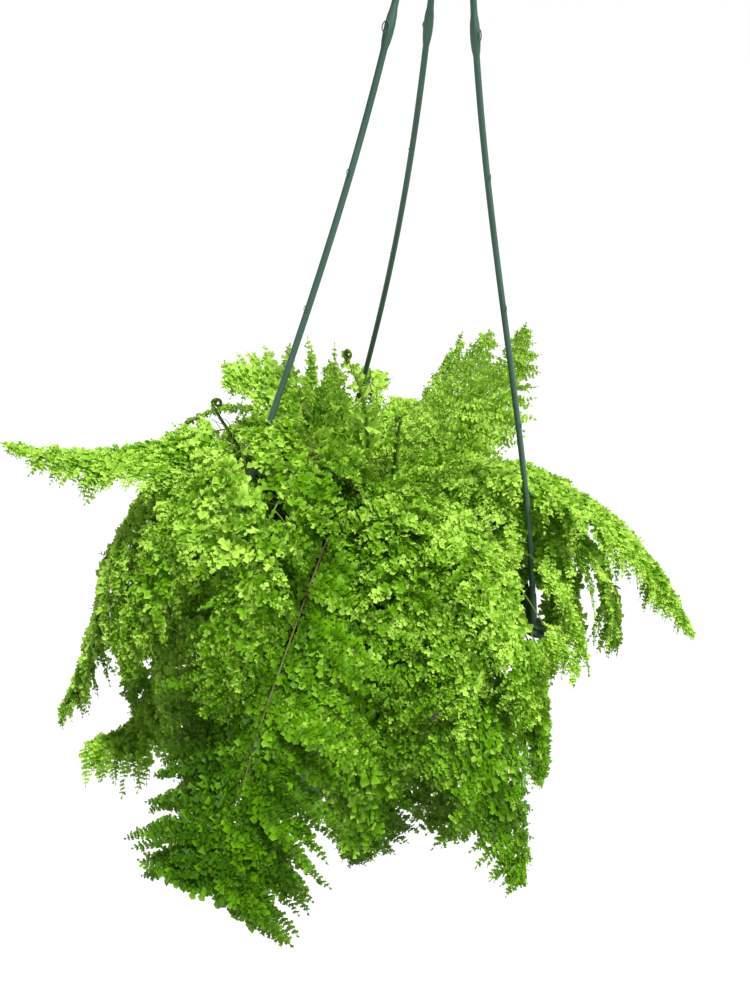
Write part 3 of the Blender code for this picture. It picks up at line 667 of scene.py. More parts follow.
def shared_group(name, maker):
    """Node group of this name, built once."""
    return bpy.data.node_groups.get(name) or maker(name)


# Materials

def moulded_plastic_group(name):
    """Effect shared by the pot and the hanger: dust, mould grain, uneven gloss and a painted bluish sheen
    laid in cloudy patches.
    """
    nodes, given, results = new_tree(name, "ShaderNodeTree", (
        ("Color", "Color", (0.05, 0.1, 0.07, 1.0)), ("Sheen Color", "Color", (0.1, 0.2, 0.17, 1.0)),
        ("Roughness", "Float", 0.4), ("Grain Scale", "Float", 900.0),
    ), (("Color", "Color"), ("Roughness", "Float"), ("Height", "Float")))
    place = nodes.place()
    cloud = nodes.noise(place, 28.0, 4.0)
    streak = nodes.out("ShaderNodeMapping", {"Vector": place, "Scale": (160.0, 160.0, 9.0)})
    lines = nodes.noise(streak, 1.0, 2.0)
    grain = nodes.noise(place, given["Grain Scale"], 2.0)
    up = nodes.height(nodes.out("ShaderNodeNewGeometry", output="Normal"))
    dust = nodes.times(nodes.math("MAXIMUM", up, 0.0), cloud)
    # Painted sheen: cloudy random patches of the plastic's colour lightened towards the bluish Sheen Color,
    # in place of highlights
    painted_sheen_patch = nodes.minus(nodes.times(cloud, 1.6), 0.45, clamp=True)
    color = nodes.mix(nodes.times(painted_sheen_patch, 0.55), given["Color"], given["Sheen Color"])
    color = nodes.mix(nodes.times(lines, 0.35), color, (0.012, 0.028, 0.02))
    color = nodes.mix(nodes.times(dust, 0.22), color, (0.36, 0.40, 0.36))
    uneven = nodes.times(nodes.minus(cloud, 0.5), 0.35)
    nodes.give(results["Color"], color)
    nodes.give(results["Roughness"], nodes.plus(given["Roughness"], uneven, clamp=True))
    nodes.give(results["Height"], nodes.plus(grain, nodes.times(lines, 0.6)))
    return nodes.tree


def leaf_group(name):
    """Effect shared by the leaf materials: tints by branch, by leaflet and by youth, pale veins, painted
    highlights on leaflet edges over painted shade at their bases, and painted shade low on the mound with
    painted light high on it.
    """
    nodes, given, results = new_tree(name, "ShaderNodeTree", (
        ("Deep", "Color", (0.05, 0.2, 0.01, 1.0)), ("Mid", "Color", (0.15, 0.4, 0.02, 1.0)),
        ("Fresh", "Color", (0.4, 0.65, 0.08, 1.0)), ("Youth", "Float", 0.0),
    ), (("Color", "Color"), ("Glow Color", "Color"), ("Roughness", "Float"), ("Height", "Float")))
    place = nodes.place()
    cloud = nodes.noise(place, 22.0, 3.0)
    fine = nodes.noise(place, 420.0, 2.0)
    # tint is the branch's tone, which also carries painted light and shade from add_branch; shade is a
    # random tone per leaflet
    age_and_painted_light = nodes.times(nodes.read("tint"), 0.34)
    # edge lightens leaflet edges and tips and darkens their bases: a painted highlight and painted shade
    for attribute, weight in (("shade", 0.58), ("ripe", 0.16), ("edge", 0.56)):
        age_and_painted_light = nodes.plus(age_and_painted_light, nodes.times(nodes.read(attribute), weight))
    age_and_painted_light = nodes.plus(age_and_painted_light, nodes.times(nodes.minus(cloud, 0.5), 0.9))
    # Painted shade low on the mound and painted light high on it: the leaves' colour follows their height
    height = nodes.height(place)
    age_and_painted_light = nodes.plus(age_and_painted_light, nodes.mapped(height, -HOOK_TO_RIM - 0.12, -HOOK_TO_RIM + 0.14, -0.42, 0.24))
    age_and_painted_light = nodes.plus(age_and_painted_light, nodes.minus(given["Youth"], 0.40), clamp=True)
    # old and new split the ramp from the Deep through the Mid to the Fresh colour, so they carry the painted
    # light and shade as well
    old = nodes.times(age_and_painted_light, 2.0, clamp=True)
    new = nodes.minus(nodes.times(age_and_painted_light, 2.0), 1.0, clamp=True)
    color = nodes.mix(old, given["Deep"], given["Mid"])
    color = nodes.mix(new, color, given["Fresh"])
    vein = nodes.minus(1.0, nodes.times(nodes.read("vein"), 7.0), clamp=True)
    color = nodes.mix(nodes.times(vein, 0.22), color, given["Fresh"])
    color = nodes.mix(nodes.times(fine, 0.18), color, given["Deep"])
    nodes.give(results["Color"], color)
    nodes.give(results["Glow Color"], nodes.mix(0.55, color, given["Fresh"]))
    nodes.give(results["Roughness"], nodes.plus(0.36, nodes.times(fine, 0.24)))
    nodes.give(results["Height"], nodes.plus(fine, nodes.times(vein, -0.8)))
    return nodes.tree


def new_material(name):
    """Material with its nodes, its Principled shader and its output."""
    result = bpy.data.materials.new(name)
    result.use_nodes = True
    tree = result.node_tree
    return result, Nodes(tree), tree.nodes["Principled BSDF"], tree.nodes["Material Output"]


def surface(nodes, shader, color, plain, roughness, specular, bump=None):
    """Sets a Principled shader. plain is its one colour where nodes aren't read.

    bump holds a height, a strength and a depth.
    """
    shader.inputs["Base Color"].default_value = rgba(plain)
    nodes.give(shader.inputs["Base Color"], color)
    nodes.give(shader.inputs["Roughness"], roughness)
    nodes.give(shader.inputs["Specular IOR Level"], specular)
    if bump:
        height, strength, depth = bump
        nodes.give(shader.inputs["Normal"], nodes.out("ShaderNodeBump", {
            "Strength": strength, "Distance": depth, "Height": height}))


def plastic_material(name, color, roughness, grain):
    """Moulded polypropylene with a soft bluish sheen painted into its colour."""
    result, nodes, shader, _ = new_material(name)
    # Painted sheen colour: the plastic's colour made lighter and bluer
    sheen = tuple(min(1.0, channel * gain) for channel, gain in zip(color, (1.6, 1.7, 1.9)))
    effect = nodes.node("ShaderNodeGroup", {
        "Color": rgba(color), "Sheen Color": rgba(sheen), "Roughness": roughness, "Grain Scale": grain,
    }, node_tree=shared_group("moulded_plastic", moulded_plastic_group)).outputs
    surface(nodes, shader, effect["Color"], color, effect["Roughness"], specular=0.25,
            bump=(effect["Height"], 0.25, 0.12 * MM))
    return result


def leaf_material(name, youth, foliage):
    """Thin ruffled leaf: satin on top, lit through by what stands behind it, paler underneath."""
    result, nodes, shader, output = new_material(name)
    effect = nodes.node("ShaderNodeGroup", {
        "Deep": rgba(foliage.deep_color), "Mid": rgba(foliage.mid_color),
        "Fresh": rgba(foliage.fresh_color), "Youth": youth,
    }, node_tree=shared_group("fern_leaf", leaf_group)).outputs
    under = nodes.out("ShaderNodeNewGeometry", output="Backfacing")
    color = nodes.mix(nodes.times(under, 0.30), effect["Color"], (0.23, 0.42, 0.02))
    surface(nodes, shader, color, foliage.mid_color, effect["Roughness"], specular=0.13,
            bump=(effect["Height"], 0.35, 0.25 * MM))
    through = nodes.out("ShaderNodeBsdfTranslucent", {"Color": effect["Glow Color"]})
    both = nodes.out("ShaderNodeMixShader", {0: 0.26, 1: shader.outputs[0], 2: through})
    nodes.give(output.inputs["Surface"], both)
    return result


def stem_material(name, brown):
    """Wiry stem: tan and scaly near the soil, green towards the tip."""
    result, nodes, shader, _ = new_material(name)
    place = nodes.place()
    fleck = nodes.noise(place, 600.0, 3.0)
    cloud = nodes.noise(place, 40.0, 2.0)
    green = nodes.plus(nodes.times(nodes.read("ripe"), 1.5 - brown),
                       nodes.times(nodes.minus(cloud, 0.35 + brown), 0.8), clamp=True)
    color = nodes.mix(green, (0.12, 0.075, 0.022), (0.13, 0.24, 0.02))
    color = nodes.mix(nodes.times(fleck, 0.35), color, (0.05, 0.06, 0.008))
    surface(nodes, shader, color, (0.11, 0.18, 0.02), roughness=0.55, specular=0.25,
            bump=(fleck, 0.4, 0.1 * MM))
    return result


def soil_material(color):
    """Damp peat with bark flakes and a few pale grains."""
    result, nodes, shader, _ = new_material("peat")
    place = nodes.place()
    lump = nodes.noise(place, 90.0, 6.0)
    cells = nodes.out("ShaderNodeTexVoronoi", {"Vector": place, "Scale": 210.0}, "Color")
    tone = nodes.out("ShaderNodeSeparateColor", {0: cells})
    pale = nodes.math("GREATER_THAN", tone, 0.965)
    bark = nodes.times(nodes.math("GREATER_THAN", tone, 0.72), 0.6)
    shade = nodes.mix(lump, [channel * 0.45 for channel in color], color)
    shade = nodes.mix(bark, shade, (0.085, 0.042, 0.020))
    shade = nodes.mix(pale, shade, (0.42, 0.40, 0.36))
    surface(nodes, shader, shade, color, roughness=0.92, specular=0.5, bump=(lump, 0.7, 0.8 * MM))
    return result


# Pot, soil and hanger

def pot_outer_radius(height):
    """Radius of the pot's tapered outside, under the rim band."""
    top = POT_RADIUS - RIM_STEP
    share = (height + POT_HEIGHT) / (POT_HEIGHT - RIM_BAND)
    return POT_BASE_RADIUS + (top - POT_BASE_RADIUS) * share


def cylinders(radius, low, high, places, sides):
    """Meshes of upright cylinders with softened edges, between two heights."""
    inner = radius - HOLE_EDGE
    profile = ((0.0, high), (inner, high), (radius, high - HOLE_EDGE), (radius, low + HOLE_EDGE),
               (inner, low), (0.0, low))
    return [turned("cylinder", profile, sides, place) for place in places]


def pot_profile():
    """Outline of the pot from the middle of its floor, up inside, over the rim and down outside."""
    floor = -POT_HEIGHT + POT_WALL
    band = pot_outer_radius(-RIM_BAND)
    mouth = band - POT_WALL
    turns = evenly(0.0, QUARTER, 5)
    profile = [(0.0, floor), (0.5 * POT_BASE_RADIUS, floor)]
    profile += [(pot_outer_radius(height) - POT_WALL, height) for height in evenly(floor, -RIM_BAND, 8)]
    profile += [(mouth + EDGE_ROUND * (1 - math.cos(turn)), -EDGE_ROUND * (1 - math.sin(turn)))
                for turn in turns]
    profile += [(POT_RADIUS - EDGE_ROUND * (1 - math.sin(turn)), -EDGE_ROUND * (1 - math.cos(turn)))
                for turn in turns]
    profile += [(POT_RADIUS, -RIM_BAND + 0.5 * EDGE_ROUND), (POT_RADIUS - 0.4 * EDGE_ROUND, -RIM_BAND),
                (band + 0.5 * EDGE_ROUND, -RIM_BAND - 0.2 * EDGE_ROUND), (band, -RIM_BAND - EDGE_ROUND)]
    profile += [(pot_outer_radius(height), height)
                for height in evenly(-RIM_BAND - EDGE_ROUND, -POT_HEIGHT + 4 * EDGE_ROUND, 12)[1:]]
    return profile + [(POT_BASE_RADIUS + 0.2 * EDGE_ROUND, -POT_HEIGHT + EDGE_ROUND),
                      (POT_BASE_RADIUS - EDGE_ROUND, -POT_HEIGHT), (0.5 * POT_BASE_RADIUS, -POT_HEIGHT),
                      (0.0, -POT_HEIGHT)]


class FERN_OT_add_pot(Operator):
    """Adds the tapered plastic pot with its rim band, three ears and drain holes"""

    bl_idname = "fern.add_pot"
    bl_label = "Add pot"

    def execute(self, context):
        settings = context.scene.fern_settings.pot
        plastic = plastic_material("pot_moulding", settings.pot_color, roughness=0.5, grain=700.0)
        pot = new_object("hanging_pot", turned("hanging_pot", pot_profile(), POT_SIDES))
        ears = [polar(CLIP_CIRCLE, math.radians(azimuth), 0.0).to_2d() for azimuth in ARM_AZIMUTHS]
        drains = [polar(DRAIN_CIRCLE, 2 * math.pi * index / DRAIN_HOLES, 0.0).to_2d()
                  for index in range(DRAIN_HOLES)]
        combined(pot, cylinders(EAR_RADIUS, -EAR_THICKNESS, 0.0, ears, sides=40), "UNION")
        holes = cylinders(EAR_HOLE_RADIUS, -3 * EAR_THICKNESS, EAR_THICKNESS, ears, sides=24)
        holes += cylinders(DRAIN_RADIUS, -POT_HEIGHT - POT_WALL, -POT_HEIGHT + 2 * POT_WALL, drains,
                           sides=28)
        combined(pot, holes, "DIFFERENCE", plastic)
        finish_piece(pot, "pot_plastic", "pot", sharp=POT_SHARP)
        return {"FINISHED"}


def crumb_mesh(seed):
    """Small rough grain of unit size."""
    draw = random.Random(seed)
    bm = bmesh.new()
    bmesh.ops.create_icosphere(bm, subdivisions=1, radius=0.5)
    for vert in bm.verts:
        vert.co *= draw.uniform(0.7, 1.2)
        vert.co.z *= 0.6
    return mesh_from(bm, "grain")


def crumbs_tree():
    """Geometry tree that strews grains over the faces that look up, and keeps the ground under them."""
    nodes, given, results = geometry_tree("soil_crumbs", (
        ("Spacing", "Float", 5 * MM), ("Grain Size", "Float", 3 * MM), ("Seed", "Int", 3),
        ("Grains", "Collection", None), ("Material", "Material", None)))
    top = nodes.over(nodes.height(nodes.out("GeometryNodeInputNormal")), 0.6)
    points = nodes.out("GeometryNodeDistributePointsOnFaces", {
        "Mesh": given["Geometry"], "Selection": top, "Distance Min": given["Spacing"],
        "Density Max": 60000.0, "Seed": given["Seed"]}, distribute_method="POISSON")
    size = nodes.times(given["Grain Size"], nodes.random(0.45, 1.5))
    strewn = nodes.instances(points, nodes.templates(given["Grains"]),
                             nodes.random((0.0, 0.0, 0.0), (0.6, 0.6, 6.28)), size,
                             Pick_Instance=True, Instance_Index=nodes.random(0, 2))
    real = nodes.joined(strewn, given["Geometry"])
    nodes.give(results[0], nodes.painted(real, given["Material"]))
    return nodes.tree


class FERN_OT_add_soil(Operator):
    """Adds the potting soil that fills the pot, with a crumbly top"""

    bl_idname = "fern.add_soil"
    bl_label = "Add soil"

    def execute(self, context):
        settings = context.scene.fern_settings.pot
        edge = pot_outer_radius(SOIL_TOP) - POT_WALL - GAP
        bottom = -POT_HEIGHT + POT_WALL + GAP
        profile = [(edge * ring / SOIL_RINGS, SOIL_TOP + SOIL_CROWN * (1 - (ring / SOIL_RINGS) ** 2))
                   for ring in range(SOIL_RINGS + 1)]
        profile += [(pot_outer_radius(bottom) - POT_WALL - GAP, bottom), (0.0, bottom)]
        soil = new_object("potting_soil", turned("potting_soil", profile, SOIL_SIDES))
        for vert in soil.data.vertices:
            inner = 1 - min(1.0, vert.co.to_2d().length / (0.985 * edge))
            if vert.co.z > SOIL_TOP - MM and inner > 0.0:
                rough = noise.noise(vert.co * 70) + 0.6 * noise.noise(vert.co * 210)
                vert.co.z += rough * SOIL_ROUGH * min(1.0, 6 * inner)
        soil.data.update()
        soil.data.shade_smooth()
        grains = template_collection("soil_grain", [crumb_mesh(seed) for seed in (1, 2, 3)])
        grown(soil, crumbs_tree(), {"Spacing": settings.crumb_spacing, "Grain Size": GRAIN_SIZE, "Seed": 4,
                                    "Grains": grains, "Material": soil_material(settings.soil_color)})
        remove_collection(grains)
        finish_piece(soil, "potting_soil", "soil")
        return {"FINISHED"}


def arm_point(index, height):
    """Centre of a hanger arm at a height over the rim."""
    share = height / ARM_SPAN
    linear, square, cube = ARM_CURVE
    radius = ARM_FOOT_RADIUS * (1 + linear * share + square * share ** 2 + cube * share ** 3)
    azimuth = math.radians(ARM_AZIMUTHS[index])
    bow = ARM_BOWS[index] * math.sin(math.pi * share / ARM_BOW_SPAN)
    return polar(radius, azimuth, height) + sideways(azimuth) * bow


def arm_line(index, heights):
    """Centres of a hanger arm at these heights."""
    return [arm_point(index, height) for height in heights]


def arm_radius(height, foot):
    """Radius of an arm: thinner towards the hub, swollen at the moulded pad, stepped at the ring line."""
    radius = foot + (ARM_HIGH / ARM_LOW - 1) * foot * height / HUB_HEIGHT
    from_pad = abs(height - PAD_HEIGHT) / PAD_HALF
    if from_pad < 1:
        radius *= 1 + 0.55 * math.cos(from_pad * math.pi / 2) ** 0.7
    if height < RING_HEIGHT:
        radius *= 1.12
    return radius


def arm_mesh(index, foot):
    """One arm from its sleeve to the hub."""
    ring_line = [RING_HEIGHT - 0.15 * MM, RING_HEIGHT + 0.15 * MM]
    heights = sorted(evenly(SLEEVE_HEIGHT / 2, HUB_HEIGHT, 120) + ring_line)
    radii = [arm_radius(height, foot) for height in heights]
    return tube("arm", arm_line(index, heights), radii, sides=16, squareness=2.5, stretch=1.06)


def sleeve_mesh(index):
    """Thicker sleeve at an arm's foot, with a rounded shoulder."""
    heights = evenly(0.5 * CLIP_DISC_THICKNESS, SLEEVE_HEIGHT, 12)
    radii = [SLEEVE_RADIUS * (1 - 0.12 * step / 12) for step in range(13)]
    for angle in evenly(0.0, QUARTER, 6)[1:]:
        heights.append(SLEEVE_HEIGHT + 1.9 * MM * math.sin(angle))
        radii.append(1.2 * ARM_LOW + (0.88 * SLEEVE_RADIUS - 1.2 * ARM_LOW) * math.cos(angle))
    radii[-1] -= 0.35 * ARM_LOW
    return tube("sleeve", arm_line(index, heights), radii, sides=24)


def clip_mesh(azimuth):
    """Dished disc that bears on an ear, and the snap pin through the ear's hole."""
    under = -EAR_THICKNESS - GAP
    top = GAP + CLIP_DISC_THICKNESS
    disc = CLIP_DISC_RADIUS
    profile = (
        (0.0, top - 0.35 * MM),
        (0.72 * disc, top - 0.35 * MM),
        (0.82 * disc, top - 0.05 * MM),
        (0.92 * disc, top),
        (0.985 * disc, top - 0.25 * MM),
        (disc, top - 0.7 * MM),
        (disc, GAP + 0.3 * MM),
        (disc - 0.3 * MM, GAP),
        (CLIP_PIN_RADIUS, GAP),
        (CLIP_PIN_RADIUS, under),
        (CLIP_HEAD_RADIUS - 0.2 * MM, under),
        (CLIP_HEAD_RADIUS, under - 0.3 * MM),
        (0.5 * CLIP_HEAD_RADIUS, under - CLIP_HEAD_LENGTH + 0.4 * MM),
        (0.35 * CLIP_HEAD_RADIUS, under - CLIP_HEAD_LENGTH),
        (0.0, under - CLIP_HEAD_LENGTH),
    )
    return turned("clip", profile, sides=40, centre=polar(CLIP_CIRCLE, azimuth, 0.0).to_2d())


def hook_mesh(neck):
    """Round hook on the hub's neck, with a rounded tip."""
    loop = Vector((0.0, 0.0, HOOK_TO_RIM - HOOK_RADIUS + HOOK_WIRE))
    points = [Vector((0.0, 0.0, neck - 2 * HUB_NECK_RADIUS)), Vector((0.0, 0.0, neck))]
    for degrees in evenly(HOOK_FROM, HOOK_TO, 48):
        angle = math.radians(degrees)
        points.append(loop + Vector((math.cos(angle), 0.0, math.sin(angle))) * HOOK_RADIUS)
    radii = [HOOK_WIRE] * len(points)
    radii[-3:] = [0.97 * HOOK_WIRE, 0.85 * HOOK_WIRE, 0.5 * HOOK_WIRE]
    return tube("hook", points, radii, sides=20)


def hub_profile(neck):
    """Outline of the hub from the top of its neck down to the middle of its underside."""
    low, high = HUB_HEIGHT - HUB_THICKNESS / 2, HUB_HEIGHT + HUB_THICKNESS / 2
    profile = [(0.0, neck), (HUB_NECK_RADIUS, neck)]
    profile += [(HUB_NECK_RADIUS * (2 - math.cos(angle)), high + HUB_NECK_RADIUS * (1 - math.sin(angle)))
                for angle in evenly(0.0, QUARTER, 5)]
    return profile + [(HUB_RADIUS - EDGE_ROUND, high - 0.3 * EDGE_ROUND),
                      (HUB_RADIUS, high - 1.3 * EDGE_ROUND), (HUB_RADIUS, low + EDGE_ROUND),
                      (HUB_RADIUS - EDGE_ROUND, low), (0.0, low)]


def marks_tree():
    """Geometry tree that sets a round mould mark on each point, turned to its normal."""
    nodes, given, results = geometry_tree("mould_marks", (
        ("Mark Radius", "Float", 1.6 * MM), ("Lip", "Float", 0.22 * MM), ("Material", "Material", None)))
    lip = nodes.out("GeometryNodeCurveToMesh", {
        "Curve": nodes.circle(28, given["Mark Radius"]), "Profile Curve": nodes.circle(8, given["Lip"])})
    turn = nodes.out("FunctionNodeAlignRotationToVector",
                     {"Vector": nodes.stored("outward", "FLOAT_VECTOR")}, axis="Z")
    real = nodes.joined(nodes.instances(given["Geometry"], lip, turn, nodes.stored("size")))
    nodes.give(results[0], nodes.painted(real, given["Material"]))
    return nodes.tree


def mark_points(foot):
    """Points on the arms' outer sides where the mould left its round marks."""
    places, normals, sizes = [], [], []
    for index, azimuth in enumerate(ARM_AZIMUTHS):
        for mark in range(MARKS):
            height = MARK_FIRST + MARK_STEP * mark
            on_pad = abs(height - PAD_HEIGHT) < PAD_HALF
            height = PAD_HEIGHT if on_pad else height
            along = (arm_point(index, height + MM) - arm_point(index, height - MM)).normalized()
            outward = polar(1.0, math.radians(azimuth), 0.0)
            outward = (outward - along * outward.dot(along)).normalized()
            places.append(arm_point(index, height) + outward * (arm_radius(height, foot) - 0.02 * MM))
            normals.append(outward)
            sizes.append(1.45 if on_pad else 0.92)
    mesh = bpy.data.meshes.new("marks")
    mesh.from_pydata(places, [], [])
    add_attribute(mesh, "outward", normals)
    add_attribute(mesh, "size", sizes)
    return mesh


class FERN_OT_add_hanger(Operator):
    """Adds the moulded hanger: hub, hook and three arms that end in a sleeve, a disc and a snap pin"""

    bl_idname = "fern.add_hanger"
    bl_label = "Add hanger"

    def execute(self, context):
        settings = context.scene.fern_settings.pot
        foot = settings.arm_thickness / 2
        neck = HUB_HEIGHT + HUB_THICKNESS / 2 + 3 * HUB_NECK_RADIUS
        plastic = plastic_material("hanger_moulding", settings.hanger_color, roughness=0.33, grain=900.0)
        hanger = new_object("moulded_hanger", turned("moulded_hanger", hub_profile(neck), sides=48))
        tools = [hook_mesh(neck)]
        for index, azimuth in enumerate(ARM_AZIMUTHS):
            tools += [arm_mesh(index, foot), sleeve_mesh(index), clip_mesh(math.radians(azimuth))]
        combined(hanger, tools, "UNION", plastic)
        finish_piece(hanger, "hanger_plastic", "hanger", sharp=HANGER_SHARP)
        marks = new_object("mould_marks", mark_points(foot))
        grown(marks, marks_tree(), {"Mark Radius": 1.7 * MM, "Lip": 0.2 * MM, "Material": plastic})
        marks.data.shade_smooth()
        finish_piece(marks, "hanger_plastic")
        return {"FINISHED"}


# Fronds

def layer_path(level, length, azimuth):
    """Rib of a layered frond: radius and height from the root to the tip."""
    root, crest_height, crest_radius, reach, low = (
        first + step * level for first, step in
        (ROOT_RADIUS, CREST_HEIGHT, CREST_RADIUS, REACH_RADIUS, REACH_HEIGHT))
    crest_height *= 1 + HIGH_SHARE * math.cos(azimuth - math.radians(HIGH_SIDE)) * level / 4
    clear = SOIL_TOP + STEM_STRAIGHT
    turns = evenly(0.0, QUARTER, 20)
    inner = [(crest_radius - (crest_radius - root) * math.cos(turn),
              clear + (crest_height - clear) * math.sin(turn)) for turn in turns]
    outer = [(crest_radius + (reach - crest_radius) * math.sin(turn),
              low + (crest_height - low) * math.cos(turn)) for turn in turns]
    whole = even_path([(root, SOIL_TOP - STEM_SUNK)] + inner + outer)
    return whole[:round(length * len(whole))]


def smooth_path(root, knots):
    """Rib through knots given as radius and height, on a straight stem at the root's radius."""
    heights = (SOIL_TOP - STEM_SUNK, SOIL_TOP - STEM_SUNK / 2, SOIL_TOP + STEM_STRAIGHT)
    knots = [Vector((root, height)) for height in heights] + [Vector(knot) for knot in knots]
    ends = [2 * knots[0] - knots[1]] + knots + [2 * knots[-1] - knots[-2]]
    fine = []
    for before, start, end, after in zip(ends, ends[1:], ends[2:], ends[3:]):
        for step in range(10):
            fine.append(catmull_rom(before, start, end, after, step / 10))
    return even_path([(point.x, point.y) for point in fine + [knots[-1]]])


def catmull_rom(before, start, end, after, share):
    """Point between two knots of a Catmull-Rom curve."""
    square = share * share
    cube = square * share
    return 0.5 * (2 * start + (end - before) * share
                  + (2 * before - 5 * start + 4 * end - after) * square
                  + (3 * start - before - 3 * end + after) * cube)


def even_path(points):
    """The same line, read at even steps of its length."""
    result = [Vector(points[0])]
    for point in points[1:]:
        point = Vector(point)
        while (point - result[-1]).length >= PATH_STEP:
            result.append(result[-1] + (point - result[-1]).normalized() * PATH_STEP)
    return result


def coil_up(path):
    """Adds the coil of a young frond to its rib."""
    heading = math.atan2(path[-1].y - path[-4].y, path[-1].x - path[-4].x)
    for step in range(round(COIL_LENGTH / PATH_STEP)):
        radius = COIL_OUTER + (COIL_INNER - COIL_OUTER) * step * PATH_STEP / COIL_LENGTH
        heading += PATH_STEP / radius
        path.append(path[-1] + Vector((math.cos(heading), math.sin(heading))) * PATH_STEP)
    return path


def habit_of(frond):
    """The frond's habit: the two layers next to the pot bear fewer, larger leaves."""
    inner = frond.name.startswith(("frond_0", "frond_1"))
    return HABITS.get(frond.name, INNER_HABIT if inner else PLAIN_HABIT)


class Rib:
    """A frond's rib in space, read at any distance from its root."""

    def __init__(self, frond):
        self.frond = frond
        self.habit = habit_of(frond)
        self.length = (len(frond.path) - 1) * PATH_STEP
        self.tip = self.length - frond.coil

    def place(self, distance):
        """Point of the rib, and the azimuth there."""
        index = min(max(distance / PATH_STEP, 0.0), len(self.frond.path) - 1.001)
        low = int(index)
        flat = self.frond.path[low].lerp(self.frond.path[low + 1], index - low)
        azimuth = self.frond.azimuth + self.frond.sweep * (distance / self.length) ** 2
        return polar(flat.x, azimuth, flat.y), azimuth

    def frame(self, distance):
        """Point, sideways, upwards and azimuth at a distance along the rib."""
        point, azimuth = self.place(distance)
        ahead, _ = self.place(min(distance + PATH_STEP, self.length))
        back, _ = self.place(max(distance - PATH_STEP, 0.0))
        along = (ahead - back).normalized()
        side = sideways(azimuth)
        side = (side - along * side.dot(along)).normalized()
        upward = along.cross(side)
        turn = Matrix.Rotation(self.frond.roll * distance / self.length, 3, along)
        return point, turn @ side, turn @ upward, azimuth

    def line(self, distances):
        """Points of the rib at these distances, and its upward direction at each."""
        found = [self.frame(distance) for distance in distances]
        return [place[0] for place in found], [place[2] for place in found]

    def surface(self, distance, across, lift):
        """Point of the blade beside the rib, wrapped round the mound, and its upward direction."""
        point, side, upward, azimuth = self.frame(min(distance, self.length))
        beyond = max(distance - self.length, 0.0)
        inward = Vector((-math.cos(azimuth), -math.sin(azimuth), 0.0))
        wrap = across * across / (2 * max(math.hypot(point.x, point.y), WRAP_RADIUS))
        arch = self.frond.arch * across * across / self.frond.width
        flat = point + side * across + side.cross(upward) * beyond
        return flat + inward * wrap + upward * (lift - arch), upward

    def width(self, share, hand):
        """Width of the blade's left or right half at a share of its length: narrow base, long taper."""
        rise = 0.55 + 0.45 * min(1.0, share / 0.25)
        fall = 1 - self.habit.taper * share ** 2.4
        return self.frond.width * (self.habit.left if hand > 0 else self.habit.right) * rise * fall


